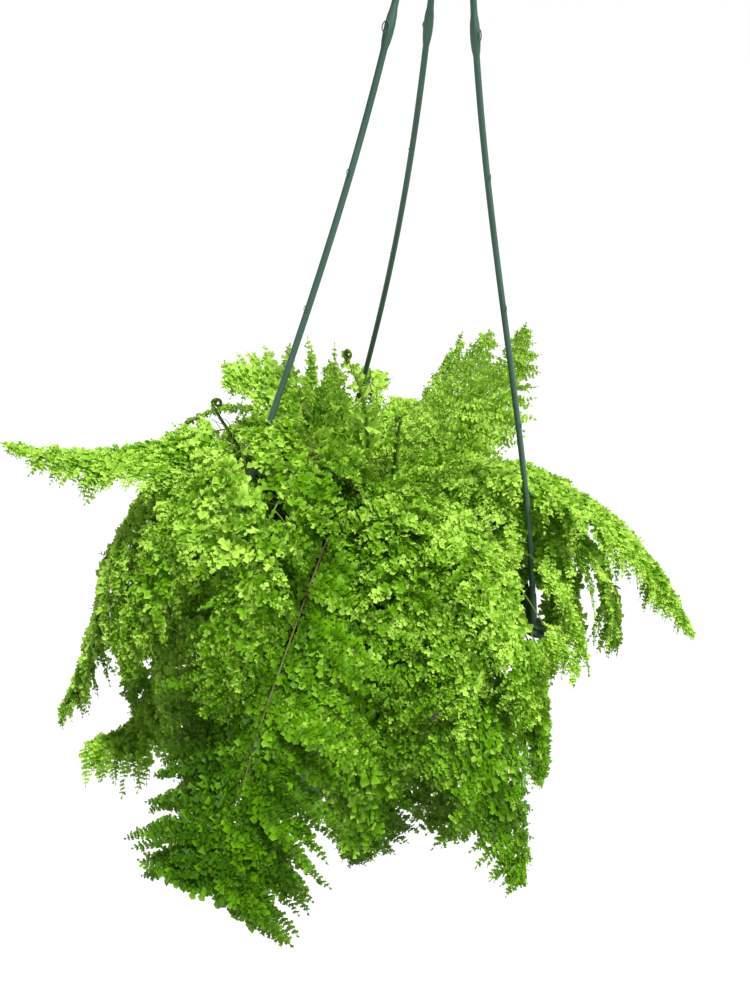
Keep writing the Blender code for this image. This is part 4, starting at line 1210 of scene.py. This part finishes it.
def placed_fronds():
    """The fronds that stand out of the mound, one by one, in mm and degrees."""

    def frond(name, azimuth, root, knots, width, start=110, sweep=0, arch=0.1, lift=2.0, tone=0,
              coiled=False):
        path = smooth_path(root * MM, [(radius * MM, height * MM) for radius, height in knots])
        if coiled:
            path = coil_up(path)
        coil = COIL_LENGTH if coiled else 0.0
        return Frond("frond_" + name, path, math.radians(azimuth), math.radians(sweep), start * MM, coil,
                     width * MM, arch, lift * MM, 0.0, tone)

    return [
        frond("left", -163, 12, ((20, 50), (46, 104), (90, 122), (146, 108), (180, 106), (205, 110),
                                 (230, 116)), 26, start=150, tone=1),
        frond("right", -3, 16, ((28, 50), (60, 96), (98, 106), (133, 94), (163, 78), (196, 52),
                                (222, 24), (248, -10)), 34),
        frond("front_left", -103, 14, ((24, 45), (50, 86), (80, 92), (112, 76), (145, 52), (182, 20),
                                       (208, -20), (224, -44), (233, -60)), 46, sweep=-2),
        frond("front_right", -59, 60, ((78, 28), (110, 50), (140, 44), (160, 24), (190, -12),
                                       (212, -44), (226, -70)), 38, start=80),
        frond("back", 94, 15, ((30, 60), (62, 104), (100, 110), (142, 88), (178, 40), (196, -14)), 34,
              start=135),
        frond("back_right_a", 62, 10, ((20, 50), (54, 92), (90, 116), (108, 136), (118, 152)), 15,
              tone=1, arch=0.0),
        frond("back_right_b", 47, 20, ((30, 40), (56, 86), (78, 120), (92, 146), (100, 168)), 34,
              start=80, tone=1, arch=0.0),
        frond("back_right_c", 36, 26, ((40, 40), (70, 90), (96, 122), (110, 150), (117, 177)), 26,
              start=80, tone=1, arch=0.0),
        frond("young", 166, 8, ((20, 30), (33, 61), (48, 110), (62, 150)), 11, start=90, tone=2,
              arch=0.0, lift=1.0),
        frond("curled", 140, 4, ((5, 60), (6, 106), (17, 140), (34, 158)), 8, start=90, tone=2,
              arch=0.0, lift=1.0, coiled=True),
        frond("furled", 60, 14, ((22, 30), (29, 65), (28, 98), (29, 118)), 7, start=80, tone=2,
              arch=0.0, lift=0.8, coiled=True),
        frond("fiddlehead", -172, 30, ((40, 12), (54, 35), (82, 84), (107, 128)), 6, start=110,
              tone=2, arch=0.0, lift=0.8, coiled=True),
        frond("top_left", -170, 20, ((26, 60), (36, 108), (54, 138), (76, 148), (98, 152)), 26,
              start=90, tone=1, arch=0.0),
        frond("top_upright", 176, 9, ((13, 60), (24, 120), (34, 164)), 15, start=100, tone=1,
              arch=0.0),
        frond("left_high", -144, 17, ((22, 60), (42, 118), (80, 146), (124, 138), (162, 108), (186, 66),
                                      (197, 26)), 36, tone=1),
        frond("front_high", -125, 22, ((30, 60), (52, 114), (84, 140), (122, 138), (156, 112),
                                       (180, 72), (192, 30)), 36, tone=1),
        frond("low_left", -162, 18, ((32, 50), (66, 92), (110, 100), (150, 74), (174, 34), (186, -14),
                                     (200, -60), (216, -100)), 34, start=145),
        frond("rim_right", -42, 40, ((56, 34), (92, 70), (128, 70), (158, 52), (182, 40)), 28,
              start=80),
        frond("skirt_left", -147, 92, ((112, 10), (134, 12), (150, -22), (160, -62), (178, -88),
                                       (204, -90)), 34, start=60),
        frond("skirt_front", -84, 90, ((112, 11), (136, 12), (151, -30), (156, -80), (158, -126)), 38,
              start=60),
        frond("crown_front", -76, 10, ((15, 50), (32, 94), (60, 110), (90, 102), (118, 80), (140, 48),
                                       (154, 10), (160, -22)), 38, start=70),
        frond("crown_right", -36, 11, ((18, 40), (40, 80), (68, 90), (94, 76), (108, 54)), 30,
              start=60),
        frond("crown_back", 14, 12, ((20, 45), (42, 86), (70, 96), (96, 82), (112, 58)), 30, start=60),
        frond("crown_left", 128, 12, ((20, 45), (42, 90), (70, 104), (96, 92), (112, 66)), 30, start=60),
    ]


def layered_fronds():
    """The mound's fronds: each layer fills the three bays between the hanger's arms."""
    draw = random.Random(SEED)
    fronds = []
    for layer in LAYERS:
        for index in range(len(ARM_AZIMUTHS) * len(layer.places)):
            bay, place = divmod(index, len(layer.places))
            centre = ARM_AZIMUTHS[0] + 120 * (bay + layer.places[place])
            azimuth = math.radians(centre + draw.uniform(-3, 3))
            level = layer.level + draw.uniform(-0.18, 0.18)
            path = layer_path(level, layer.length * draw.uniform(0.82, 1.0), azimuth)
            start = layer.bare * (len(path) - 1) * PATH_STEP
            name = "frond_%d_%02d" % (layer.level, index)
            sweep = math.radians(draw.uniform(-4, 4))
            width = layer.width * draw.uniform(0.9, 1.08)
            arch = draw.uniform(0.02, 0.08)
            lift = draw.uniform(1.2, 2.6) * MM
            roll = math.radians(draw.uniform(-8, 8))
            fronds.append(Frond(name, path, azimuth, sweep, start, 0.0, width, arch, lift, roll,
                                layer.level % 2))
    return fronds


def settled(frond):
    """The frond as its solid stands: turned aside or cut short like it. None where there is no solid."""
    solid = frame["nodes"].get(frond.name)
    if solid is None:
        return None
    points = np.zeros(3 * len(solid.data.vertices))
    solid.data.vertices.foreach_get("co", points)
    points = np.unique(points.reshape(-1, 3).round(7), axis=0) + (0.0, 0.0, HOOK_TO_RIM)
    from_axis, start = np.hypot(points[:, 0], points[:, 1]), frond.path[0]
    root = points[(abs(points[:, 2] - start.y) < 0.1 * MM) & (abs(from_axis - start.x) < 1.5 * MM)].mean(0)
    frond = frond._replace(azimuth=math.atan2(root[1], root[0]))
    tree = KDTree(len(points))
    for index, point in enumerate(points):
        tree.insert(point, index)
    tree.balance()
    for count in range(len(frond.path), round(frond.start / PATH_STEP), -1):
        trial = frond._replace(path=frond.path[:count])
        rib = Rib(trial)
        if len(tree.find_range(rib.place(rib.length)[0], RIB_END_RADIUS)) >= 4:
            return trial
    raise RuntimeError("no rib end found on " + frond.name)


class Skeleton:
    """Points and edges of ribs and midribs, with what the geometry tree reads at each point."""

    def __init__(self):
        self.points, self.edges = [], []
        self.values = {"up": [], "size": [], "thickness": [], "leafy": [], "tint": [], "ripe": []}

    def add_line(self, points, **values):
        """One rib, midrib or tip. A value is a list, or a number that holds for the whole line."""
        first, count = len(self.points), len(points)
        self.points += points
        self.edges += [(first + step, first + step + 1) for step in range(count - 1)]
        for name, value in values.items():
            self.values[name] += value if isinstance(value, list) else [value] * count

    def mesh(self, name):
        """Mesh of the edges, with the attributes."""
        mesh = bpy.data.meshes.new(name)
        mesh.from_pydata(self.points, self.edges, [])
        for attribute, values in self.values.items():
            add_attribute(mesh, attribute, values)
        return mesh


def frond_skeleton(frond, foliage, draw):
    """Rib, alternate side branches that droop and ruffle, and a tip that bears leaflets itself."""
    rib = Rib(frond)
    skeleton = Skeleton()
    noise_place = draw.uniform(0.0, 50.0)
    leafy_length = rib.tip - frond.start
    step = COILED_STEP if frond.coil else RIB_STEP
    distances = list(np.arange(0.0, rib.length, step)) + [rib.length]
    shares = [distance / rib.length for distance in distances]
    thick, taper = COILED_THICKNESS if frond.coil else RIB_THICKNESS
    points, ups = rib.line(distances)
    skeleton.add_line(points, up=ups, size=0.0, thickness=[(thick - taper * share) * MM for share in shares],
                      leafy=0.0, tint=0.5, ripe=shares)
    if frond.width < NARROW:
        distances = list(np.arange(frond.start - 12 * MM, rib.tip, 2 * MM))
        sizes = [0.95 * rib.width(max(0.0, distance - frond.start) / leafy_length, 1)
                 for distance in distances]
        points, ups = rib.line(distances)
        skeleton.add_line(points, up=ups, size=sizes, thickness=0.3 * MM, leafy=1.0, tint=0.6, ripe=0.8)
    else:
        add_branches(skeleton, rib, foliage, draw, noise_place)
    leafy_from = rib.tip - 0.05 * leafy_length - (0.0 if frond.coil else 4 * MM)
    distances = list(np.arange(leafy_from, rib.length, 1.5 * MM)) + [rib.length]
    size = COILED_TIP_LEAF if frond.coil else TIP_LEAF
    sizes = [size * (1 - 0.35 * index / len(distances)) for index in range(len(distances))]
    points, ups = rib.line(distances)
    skeleton.add_line(points, up=ups, size=sizes, thickness=0.2 * MM, leafy=1.0, tint=draw.random(),
                      ripe=1.0)
    return skeleton


def add_branches(skeleton, rib, foliage, draw, noise_place):
    """Side branches to the left and right in turn, from below the blade's start to the rib's tip."""
    frond, habit = rib.frond, rib.habit
    first = frond.start - min(LOWEST_BRANCH, 0.46 * frond.start)
    distance, hand = first, 1
    while distance < rib.tip:
        share = (distance - frond.start) / (rib.tip - frond.start)
        full = rib.width(max(share, 0.0), hand)
        clump = noise.noise(Vector((distance * 45, hand * 3.7, noise_place)))
        width = full * draw.uniform(1.0 - 0.15 * habit.wild, 1.06) * (1 + 0.25 * min(0.0, clump))
        if share < 0:
            width *= 0.35 + 0.65 * (distance - first) / (frond.start - first)
        pitch = (3.8 * MM + 0.125 * full) * habit.leaf * habit.crowd
        if width > SHORTEST_BRANCH:
            add_branch(skeleton, rib, distance, hand, width, pitch, clump, foliage, draw)
        distance += 0.5 * pitch * draw.uniform(0.85, 1.15)
        hand = -hand


@functools.lru_cache
def bare_lines():
    """Points on the arms and on a few stems that no leaf may stand before, and how far to keep off.

    Nothing at all may stand before the arms, which come first: their count is the third value.
    """
    places, margins = [], []
    for index, low, high in BARE_STRETCHES:
        heights = evenly(low, high, round((high - low) / BARE_STEP))
        places += arm_line(index, heights)
        margins += [BARE_ARM] * len(heights)
    arms = len(places)
    ribs = {frond.name: Rib(settled(frond)) for frond in placed_fronds() if frond.name in FINE_BRANCHES}
    for name, low, high, margin in BARE_STEMS:
        distances = np.arange(low * ribs[name].length, high * ribs[name].length, BARE_STEP)
        places += [ribs[name].place(distance)[0] for distance in distances]
        margins += [margin] * len(distances)
    return np.array(places), np.array(margins), arms


def parted(points):
    """Whether each point of a branch hides what should show, and how many come before the arms."""
    places, margins, arms = bare_lines()
    sight = places - VIEWER
    far = np.linalg.norm(sight, axis=1)
    sight /= far[:, None]
    offset = np.array(points) - VIEWER
    along = offset @ sight.T
    aside = np.linalg.norm(offset[:, None, :] - along[:, :, None] * sight[None, :, :], axis=2)
    hides = (aside < margins[None, :]) & (along < far[None, :] + 2 * MM)
    before = hides[:, :arms].any(axis=1)
    return hides.any(axis=1), int(before.argmax()) if before.any() else len(points)


def add_branch(skeleton, rib, distance, hand, width, pitch, clump, foliage, draw):
    """One side branch: its midrib, drooping and ruffled, ready for leaflets on both sides.

    Neighbours share their clump, from -1 for hanging ones to 1 for raised ones.
    """
    frond, habit, wild = rib.frond, rib.habit, rib.habit.wild
    count = max(4, round(width / (FINE_STEP if frond.name in FINE_BRANCHES else BRANCH_STEP)) + 1)
    droop = foliage.droop * (draw.uniform(0.0, 2.0) * wild - 1.6 * clump)
    lift = (draw.uniform(-0.12, 0.22) + 0.36 * clump) * width * wild
    phase, waves = draw.uniform(0, 2 * math.pi), draw.uniform(0.7, 1.5)
    wave = draw.uniform(0.5, 2.2) * MM * wild
    twist = (draw.uniform(-0.5, 0.5) * wild + 0.8 * clump - 0.35) * habit.ruffle * foliage.ruffle / 0.6
    sweep = 0.37 + draw.uniform(-0.18, 0.18) * wild
    longest = min(foliage.leaflet_length * habit.leaf, 0.42 * width + 1.6 * MM, 1.15 * pitch / habit.crowd)
    beyond = rib.length + draw.uniform(0.0, 12.0) * MM
    points, ups, sizes, thickness = [], [], [], []
    for share in evenly(0.0, 1.0, count - 1):
        along = min(sweep * width * (0.7 + 0.5 * share), beyond - distance) * share
        height = lift * share ** 1.5 + wave * math.sin(2 * math.pi * waves * share + phase) * share
        point, upward = rib.surface(distance + along, hand * width * share, height)
        point.z -= droop * width * share * share
        points.append(point)
        ups.append(upward)
        sizes.append(longest * ((0.78 + 0.22 * min(1.0, share / 0.2)) * (1 - 0.72 * share ** 1.8)))
        thickness.append((0.32 - 0.16 * share) * MM)
    hides, count = parted(points)
    if count < 3:
        return
    turn = Matrix.Rotation(twist * hand, 3, (points[-1] - points[0]).normalized())
    ups = [turn @ up for up in ups]
    ripe = max(0.0, (distance - frond.start) / (rib.length - frond.start))
    # Branch tone: random, lighter on raised branches and darker on hanging ones as painted light and shade,
    # plus the frond's own shift of painted light and shade
    tint = min(1.0, max(0.0, 0.5 + 0.7 * clump + draw.uniform(-0.4, 0.4))) + habit.fresh
    first = 0
    for step in range(1, count):
        if step == count - 1 or hides[step] != hides[first]:
            run = slice(first, step + 1)
            skeleton.add_line(points[run], up=ups[run], size=sizes[run], thickness=thickness[run],
                              leafy=float(not hides[first]), tint=tint, ripe=ripe)
            first = step


def leaflet_mesh(index):
    """Lobed wedge of unit length along X, with its midrib and edges marked for the material."""
    spine = ((0.0, 0.0), (0.54, 0.0), (LEAFLET_TIPS[index], -0.06))
    verts = [(x, 0.0, z) for x, z in spine]
    faces = []
    for hand, ruffled in ((1, 1.0), (-1, 0.7)):
        a, b, c, d = range(len(verts), len(verts) + 4)
        verts += [(x, hand * y, z * ruffled + 0.38 * y)
                  for (x, y), z in zip(LEAFLET_HALVES[index], LEAFLET_RUFFLES[index])]
        faces += [face[::hand] for face in ((0, 1, a), (1, b, a), (1, c, b), (1, d, c), (1, 2, d))]
    mesh = bpy.data.meshes.new("leaflet")
    mesh.from_pydata(verts, [], faces)
    add_attribute(mesh, "vein", [min(1.0, 3 * abs(y)) for _, y, _ in verts])
    add_attribute(mesh, "edge", [min(1.0, max(x, 2.2 * abs(y))) for x, y, _ in verts])
    mesh.shade_smooth()
    return mesh


def foliage_tree(name):
    """Geometry tree that makes tubes of the skeleton's lines and sets leaflets along the leafy ones."""
    nodes, given, results = geometry_tree(name, (
        ("Leaflet Spacing", "Float", 0.5), ("Ruffle", "Float", 0.4), ("Stem Sides", "Int", 3),
        ("Seed", "Int", 1), ("Leaflets", "Collection", None), ("Leaf Material", "Material", None),
        ("Stem Material", "Material", None)))
    lines = nodes.out("GeometryNodeMeshToCurve", {0: given["Geometry"]})
    tubes = nodes.out("GeometryNodeCurveToMesh", {
        "Curve": lines, "Profile Curve": nodes.circle(given["Stem Sides"], 1.0),
        "Scale": nodes.stored("thickness"), "Fill Caps": True})
    tubes = nodes.store(tubes, "woody", 1.0, "POINT")
    leafy = nodes.over(nodes.stored("leafy"), 0.5)
    midribs = nodes.out("GeometryNodeSeparateGeometry", {0: lines, 1: leafy}, domain="CURVE")
    apart = nodes.plus(nodes.times(nodes.stored("size"), given["Leaflet Spacing"]), LEAF_GAP)
    apart = nodes.math("MAXIMUM", apart, LEAF_LEAST_APART)
    beads = nodes.out("GeometryNodeResampleCurve", {"Curve": midribs, "Length": apart}, mode="LENGTH")
    leaflets = nodes.templates(given["Leaflets"])
    ahead = nodes.out("GeometryNodeInputTangent")
    up = nodes.unit(nodes.stored("up", "FLOAT_VECTOR"))
    aside = nodes.unit(nodes.vector("CROSS_PRODUCT", up, ahead))
    last = nodes.out("GeometryNodeCurveEndpointSelection", {0: 0, 1: 1})
    not_last = nodes.out("FunctionNodeBooleanMath", {0: last}, operation="NOT")
    parts = []
    for index, (forward, side) in enumerate(LEAF_LEANS):
        seed = nodes.plus(given["Seed"], 10.0 * index)
        tilt_seed, grow_seed = nodes.plus(seed, 3.0), nodes.plus(seed, 5.0)
        jitter = nodes.scaled(nodes.random((-1.0, -1.0, -1.0), (1.0, 1.0, 1.0), seed), given["Ruffle"])
        lean = nodes.vector("ADD", nodes.scaled(ahead, forward), nodes.scaled(aside, side))
        lean = nodes.vector("ADD", lean, nodes.scaled(jitter, LEAF_JITTER))
        tilt = nodes.random(tuple(-angle for angle in LEAF_TILT), LEAF_TILT, tilt_seed)
        tilted = nodes.vector("ADD", up, nodes.scaled(tilt, given["Ruffle"]))
        turn = nodes.out("FunctionNodeAxesToRotation", {0: lean, 1: tilted}, primary_axis="X",
                         secondary_axis="Z")
        size = nodes.times(nodes.stored("size"), nodes.random(*LEAF_SIZES, grow_seed))
        kind = nodes.random(0, len(LEAFLET_HALVES) - 1, grow_seed)
        placed = nodes.instances(beads, leaflets, turn, size, Selection=not_last if side else last,
                                 Pick_Instance=True, Instance_Index=kind)
        parts.append(nodes.store(placed, "shade", nodes.random(0.0, 1.0, tilt_seed), "INSTANCE"))
    green = nodes.painted(nodes.joined(*parts, tubes), given["Leaf Material"])
    woody = nodes.over(nodes.stored("woody"), 0.5)
    nodes.give(results[0], nodes.painted(green, given["Stem Material"], woody))
    return nodes.tree


def leaf_palette(foliage):
    """The materials of the fronds, made once."""
    if "mature_leaf" not in bpy.data.materials:
        for name, youth in YOUTH.items():
            leaf_material(name, youth, foliage)
        for name, brown in BROWN.items():
            stem_material(name, brown)
    return bpy.data.materials


def add_fronds(context, fronds):
    """Makes these fronds as ruffled foliage, each in its solid's place."""
    foliage = context.scene.fern_settings.foliage
    palette = leaf_palette(foliage)
    tree = shared_group("fern_foliage", foliage_tree)
    leaflets = template_collection("leaflet", [leaflet_mesh(index) for index in range(len(LEAFLET_HALVES))])
    for index, frond in enumerate(fronds):
        frond = settled(frond)
        if frond is None:
            continue
        slot, leaf, stem = TONES[frond.tone]
        draw = random.Random(foliage.seed * 1000 + index)
        frond = frond._replace(roll=frond.roll + math.radians(FACED.get(frond.name, 0.0)))
        item = new_object("fern_" + frond.name, frond_skeleton(frond, foliage, draw).mesh(frond.name))
        habit = habit_of(frond)
        grown(item, tree, {"Leaflet Spacing": habit.apart * foliage.leaflet_spacing,
                           "Ruffle": habit.ruffle * foliage.ruffle, "Stem Sides": 10 if frond.coil else 3,
                           "Seed": 100 * index + 7, "Leaflets": leaflets, "Leaf Material": palette[leaf],
                           "Stem Material": palette[stem]})
        finish_piece(item, slot, frond.name, sharp=LEAF_SHARP)
    remove_collection(leaflets)


class FERN_OT_add_placed_fronds(Operator):
    """Adds the fronds that stand out of the mound, one by one"""

    bl_idname = "fern.add_placed_fronds"
    bl_label = "Add placed fronds"

    def execute(self, context):
        add_fronds(context, placed_fronds())
        return {"FINISHED"}


class FERN_OT_add_layered_fronds(Operator):
    """Adds the five nested layers of fronds that make the mound"""

    bl_idname = "fern.add_layered_fronds"
    bl_label = "Add layered fronds"

    def execute(self, context):
        add_fronds(context, layered_fronds())
        return {"FINISHED"}


# Stage

def add_light(name, kind, power, place, aim, **settings):
    """Light that points from a place at another."""
    data = bpy.data.lights.new(name, kind)
    data.energy = power
    for key, value in settings.items():
        setattr(data, key, value)
    light = new_object(name, data)
    light.location = place
    light.rotation_euler = (Vector(aim) - Vector(place)).to_track_quat("-Z", "Y").to_euler()


def photo_camera():
    """Camera at the photograph's viewing angle."""
    data = bpy.data.cameras.new("photo_camera")
    data.sensor_width = SENSOR_MM
    data.lens = LENS_MM
    data.clip_start = 0.01
    camera = new_object("photo_camera", data)
    aimed = Matrix.Rotation(VIEW_YAW, 3, "Z") @ Matrix.Rotation(-VIEW_PITCH, 3, "X")
    right, down, ahead = (aimed @ Vector(axis) for axis in ((1, 0, 0), (0, 0, -1), (0, 1, 0)))
    turned_right = right * math.cos(VIEW_ROLL) + down * math.sin(VIEW_ROLL)
    turned_down = down * math.cos(VIEW_ROLL) - right * math.sin(VIEW_ROLL)
    axes = Matrix((turned_right, -turned_down, -ahead)).transposed()
    place = Vector((VIEWER[0], VIEWER[1], VIEWER[2] - HOOK_TO_RIM))
    camera.matrix_world = Matrix.Translation(place) @ axes.to_4x4()
    bpy.context.scene.camera = camera


def floor_mesh(half, height):
    """Square floor."""
    mesh = bpy.data.meshes.new("studio_floor")
    corners = [(x * half, y * half, height) for x, y in ((-1, -1), (1, -1), (1, 1), (-1, 1))]
    mesh.from_pydata(corners, [], [(0, 1, 2, 3)])
    return mesh


def studio_world():
    """White backdrop for the camera that lights the piece only faintly."""
    world = bpy.data.worlds.new("studio")
    world.use_nodes = True
    nodes = Nodes(world.node_tree)
    background = world.node_tree.nodes["Background"]
    seen = nodes.out("ShaderNodeLightPath", output="Is Camera Ray")
    nodes.give(background.inputs[0], rgba((1.0, 1.0, 1.0)))
    nodes.give(background.inputs[1], nodes.mapped(seen, 0.0, 1.0, FILL_STRENGTH, 1.0))
    return world


class FERN_OT_add_stage(Operator):
    """Adds the plain pale floor, the soft studio light and the camera"""

    bl_idname = "fern.add_stage"
    bl_label = "Add stage"

    def execute(self, context):
        settings = context.scene.fern_settings.stage
        floor = new_object("studio_floor", floor_mesh(FLOOR_HALF, -HOOK_TO_RIM - POT_HEIGHT - FLOOR_DROP))
        paper, nodes, shader, _ = new_material("floor_paper")
        cloud = nodes.noise(nodes.place(), 1.3, 2.0)
        color = nodes.mix(nodes.times(cloud, 0.12), settings.floor_color, (0.68, 0.68, 0.67))
        surface(nodes, shader, color, settings.floor_color, roughness=0.9, specular=0.1)
        floor.data.materials.append(paper)
        context.scene.world = studio_world()
        context.scene.view_settings.view_transform = "Standard"
        add_light("front_softbox", "AREA", settings.light_power, LIGHT_PLACE, LIGHT_AIM, size=LIGHT_SIZE)
        add_light("overhead_light", "SUN", settings.sky_strength, (0.0, 0.0, 0.0), SUN_AIM, angle=SUN_ANGLE)
        photo_camera()
        return {"FINISHED"}


class FERN_PT_panel(Panel):
    """Sidebar panel that lists the fern's pieces and settings"""

    bl_idname = "FERN_PT_panel"
    bl_label = "Potted fern"
    bl_space_type = "VIEW_3D"
    bl_region_type = "UI"
    bl_category = "Fern"

    def draw(self, context):
        settings = context.scene.fern_settings
        for title, group, operators in (
                ("Pot and hanger", settings.pot, (FERN_OT_add_pot, FERN_OT_add_soil, FERN_OT_add_hanger)),
                ("Foliage", settings.foliage, (FERN_OT_add_placed_fronds, FERN_OT_add_layered_fronds)),
                ("Stage", settings.stage, (FERN_OT_add_stage,))):
            box = self.layout.box()
            box.label(text=title)
            for name in type(group).__annotations__:
                box.prop(group, name)
            for operator in operators:
                box.operator(operator.bl_idname)


CLASSES = (PotSettings, FoliageSettings, StageSettings, FernSettings, FERN_OT_add_pot, FERN_OT_add_soil,
           FERN_OT_add_hanger, FERN_OT_add_placed_fronds, FERN_OT_add_layered_fronds, FERN_OT_add_stage,
           FERN_PT_panel)


def register():
    """Registers the classes and the scene's settings."""
    for item in CLASSES:
        bpy.utils.register_class(item)
    bpy.types.Scene.fern_settings = PointerProperty(type=FernSettings)


def unregister():
    """Removes the scene's settings and the classes."""
    del bpy.types.Scene.fern_settings
    for item in reversed(CLASSES):
        bpy.utils.unregister_class(item)


def main():
    register()
    bpy.ops.fern.add_stage()
    bpy.ops.fern.add_pot()
    bpy.ops.fern.add_soil()
    bpy.ops.fern.add_hanger()
    bpy.ops.fern.add_placed_fronds()
    bpy.ops.fern.add_layered_fronds()


if __name__ == "__main__":
    main()
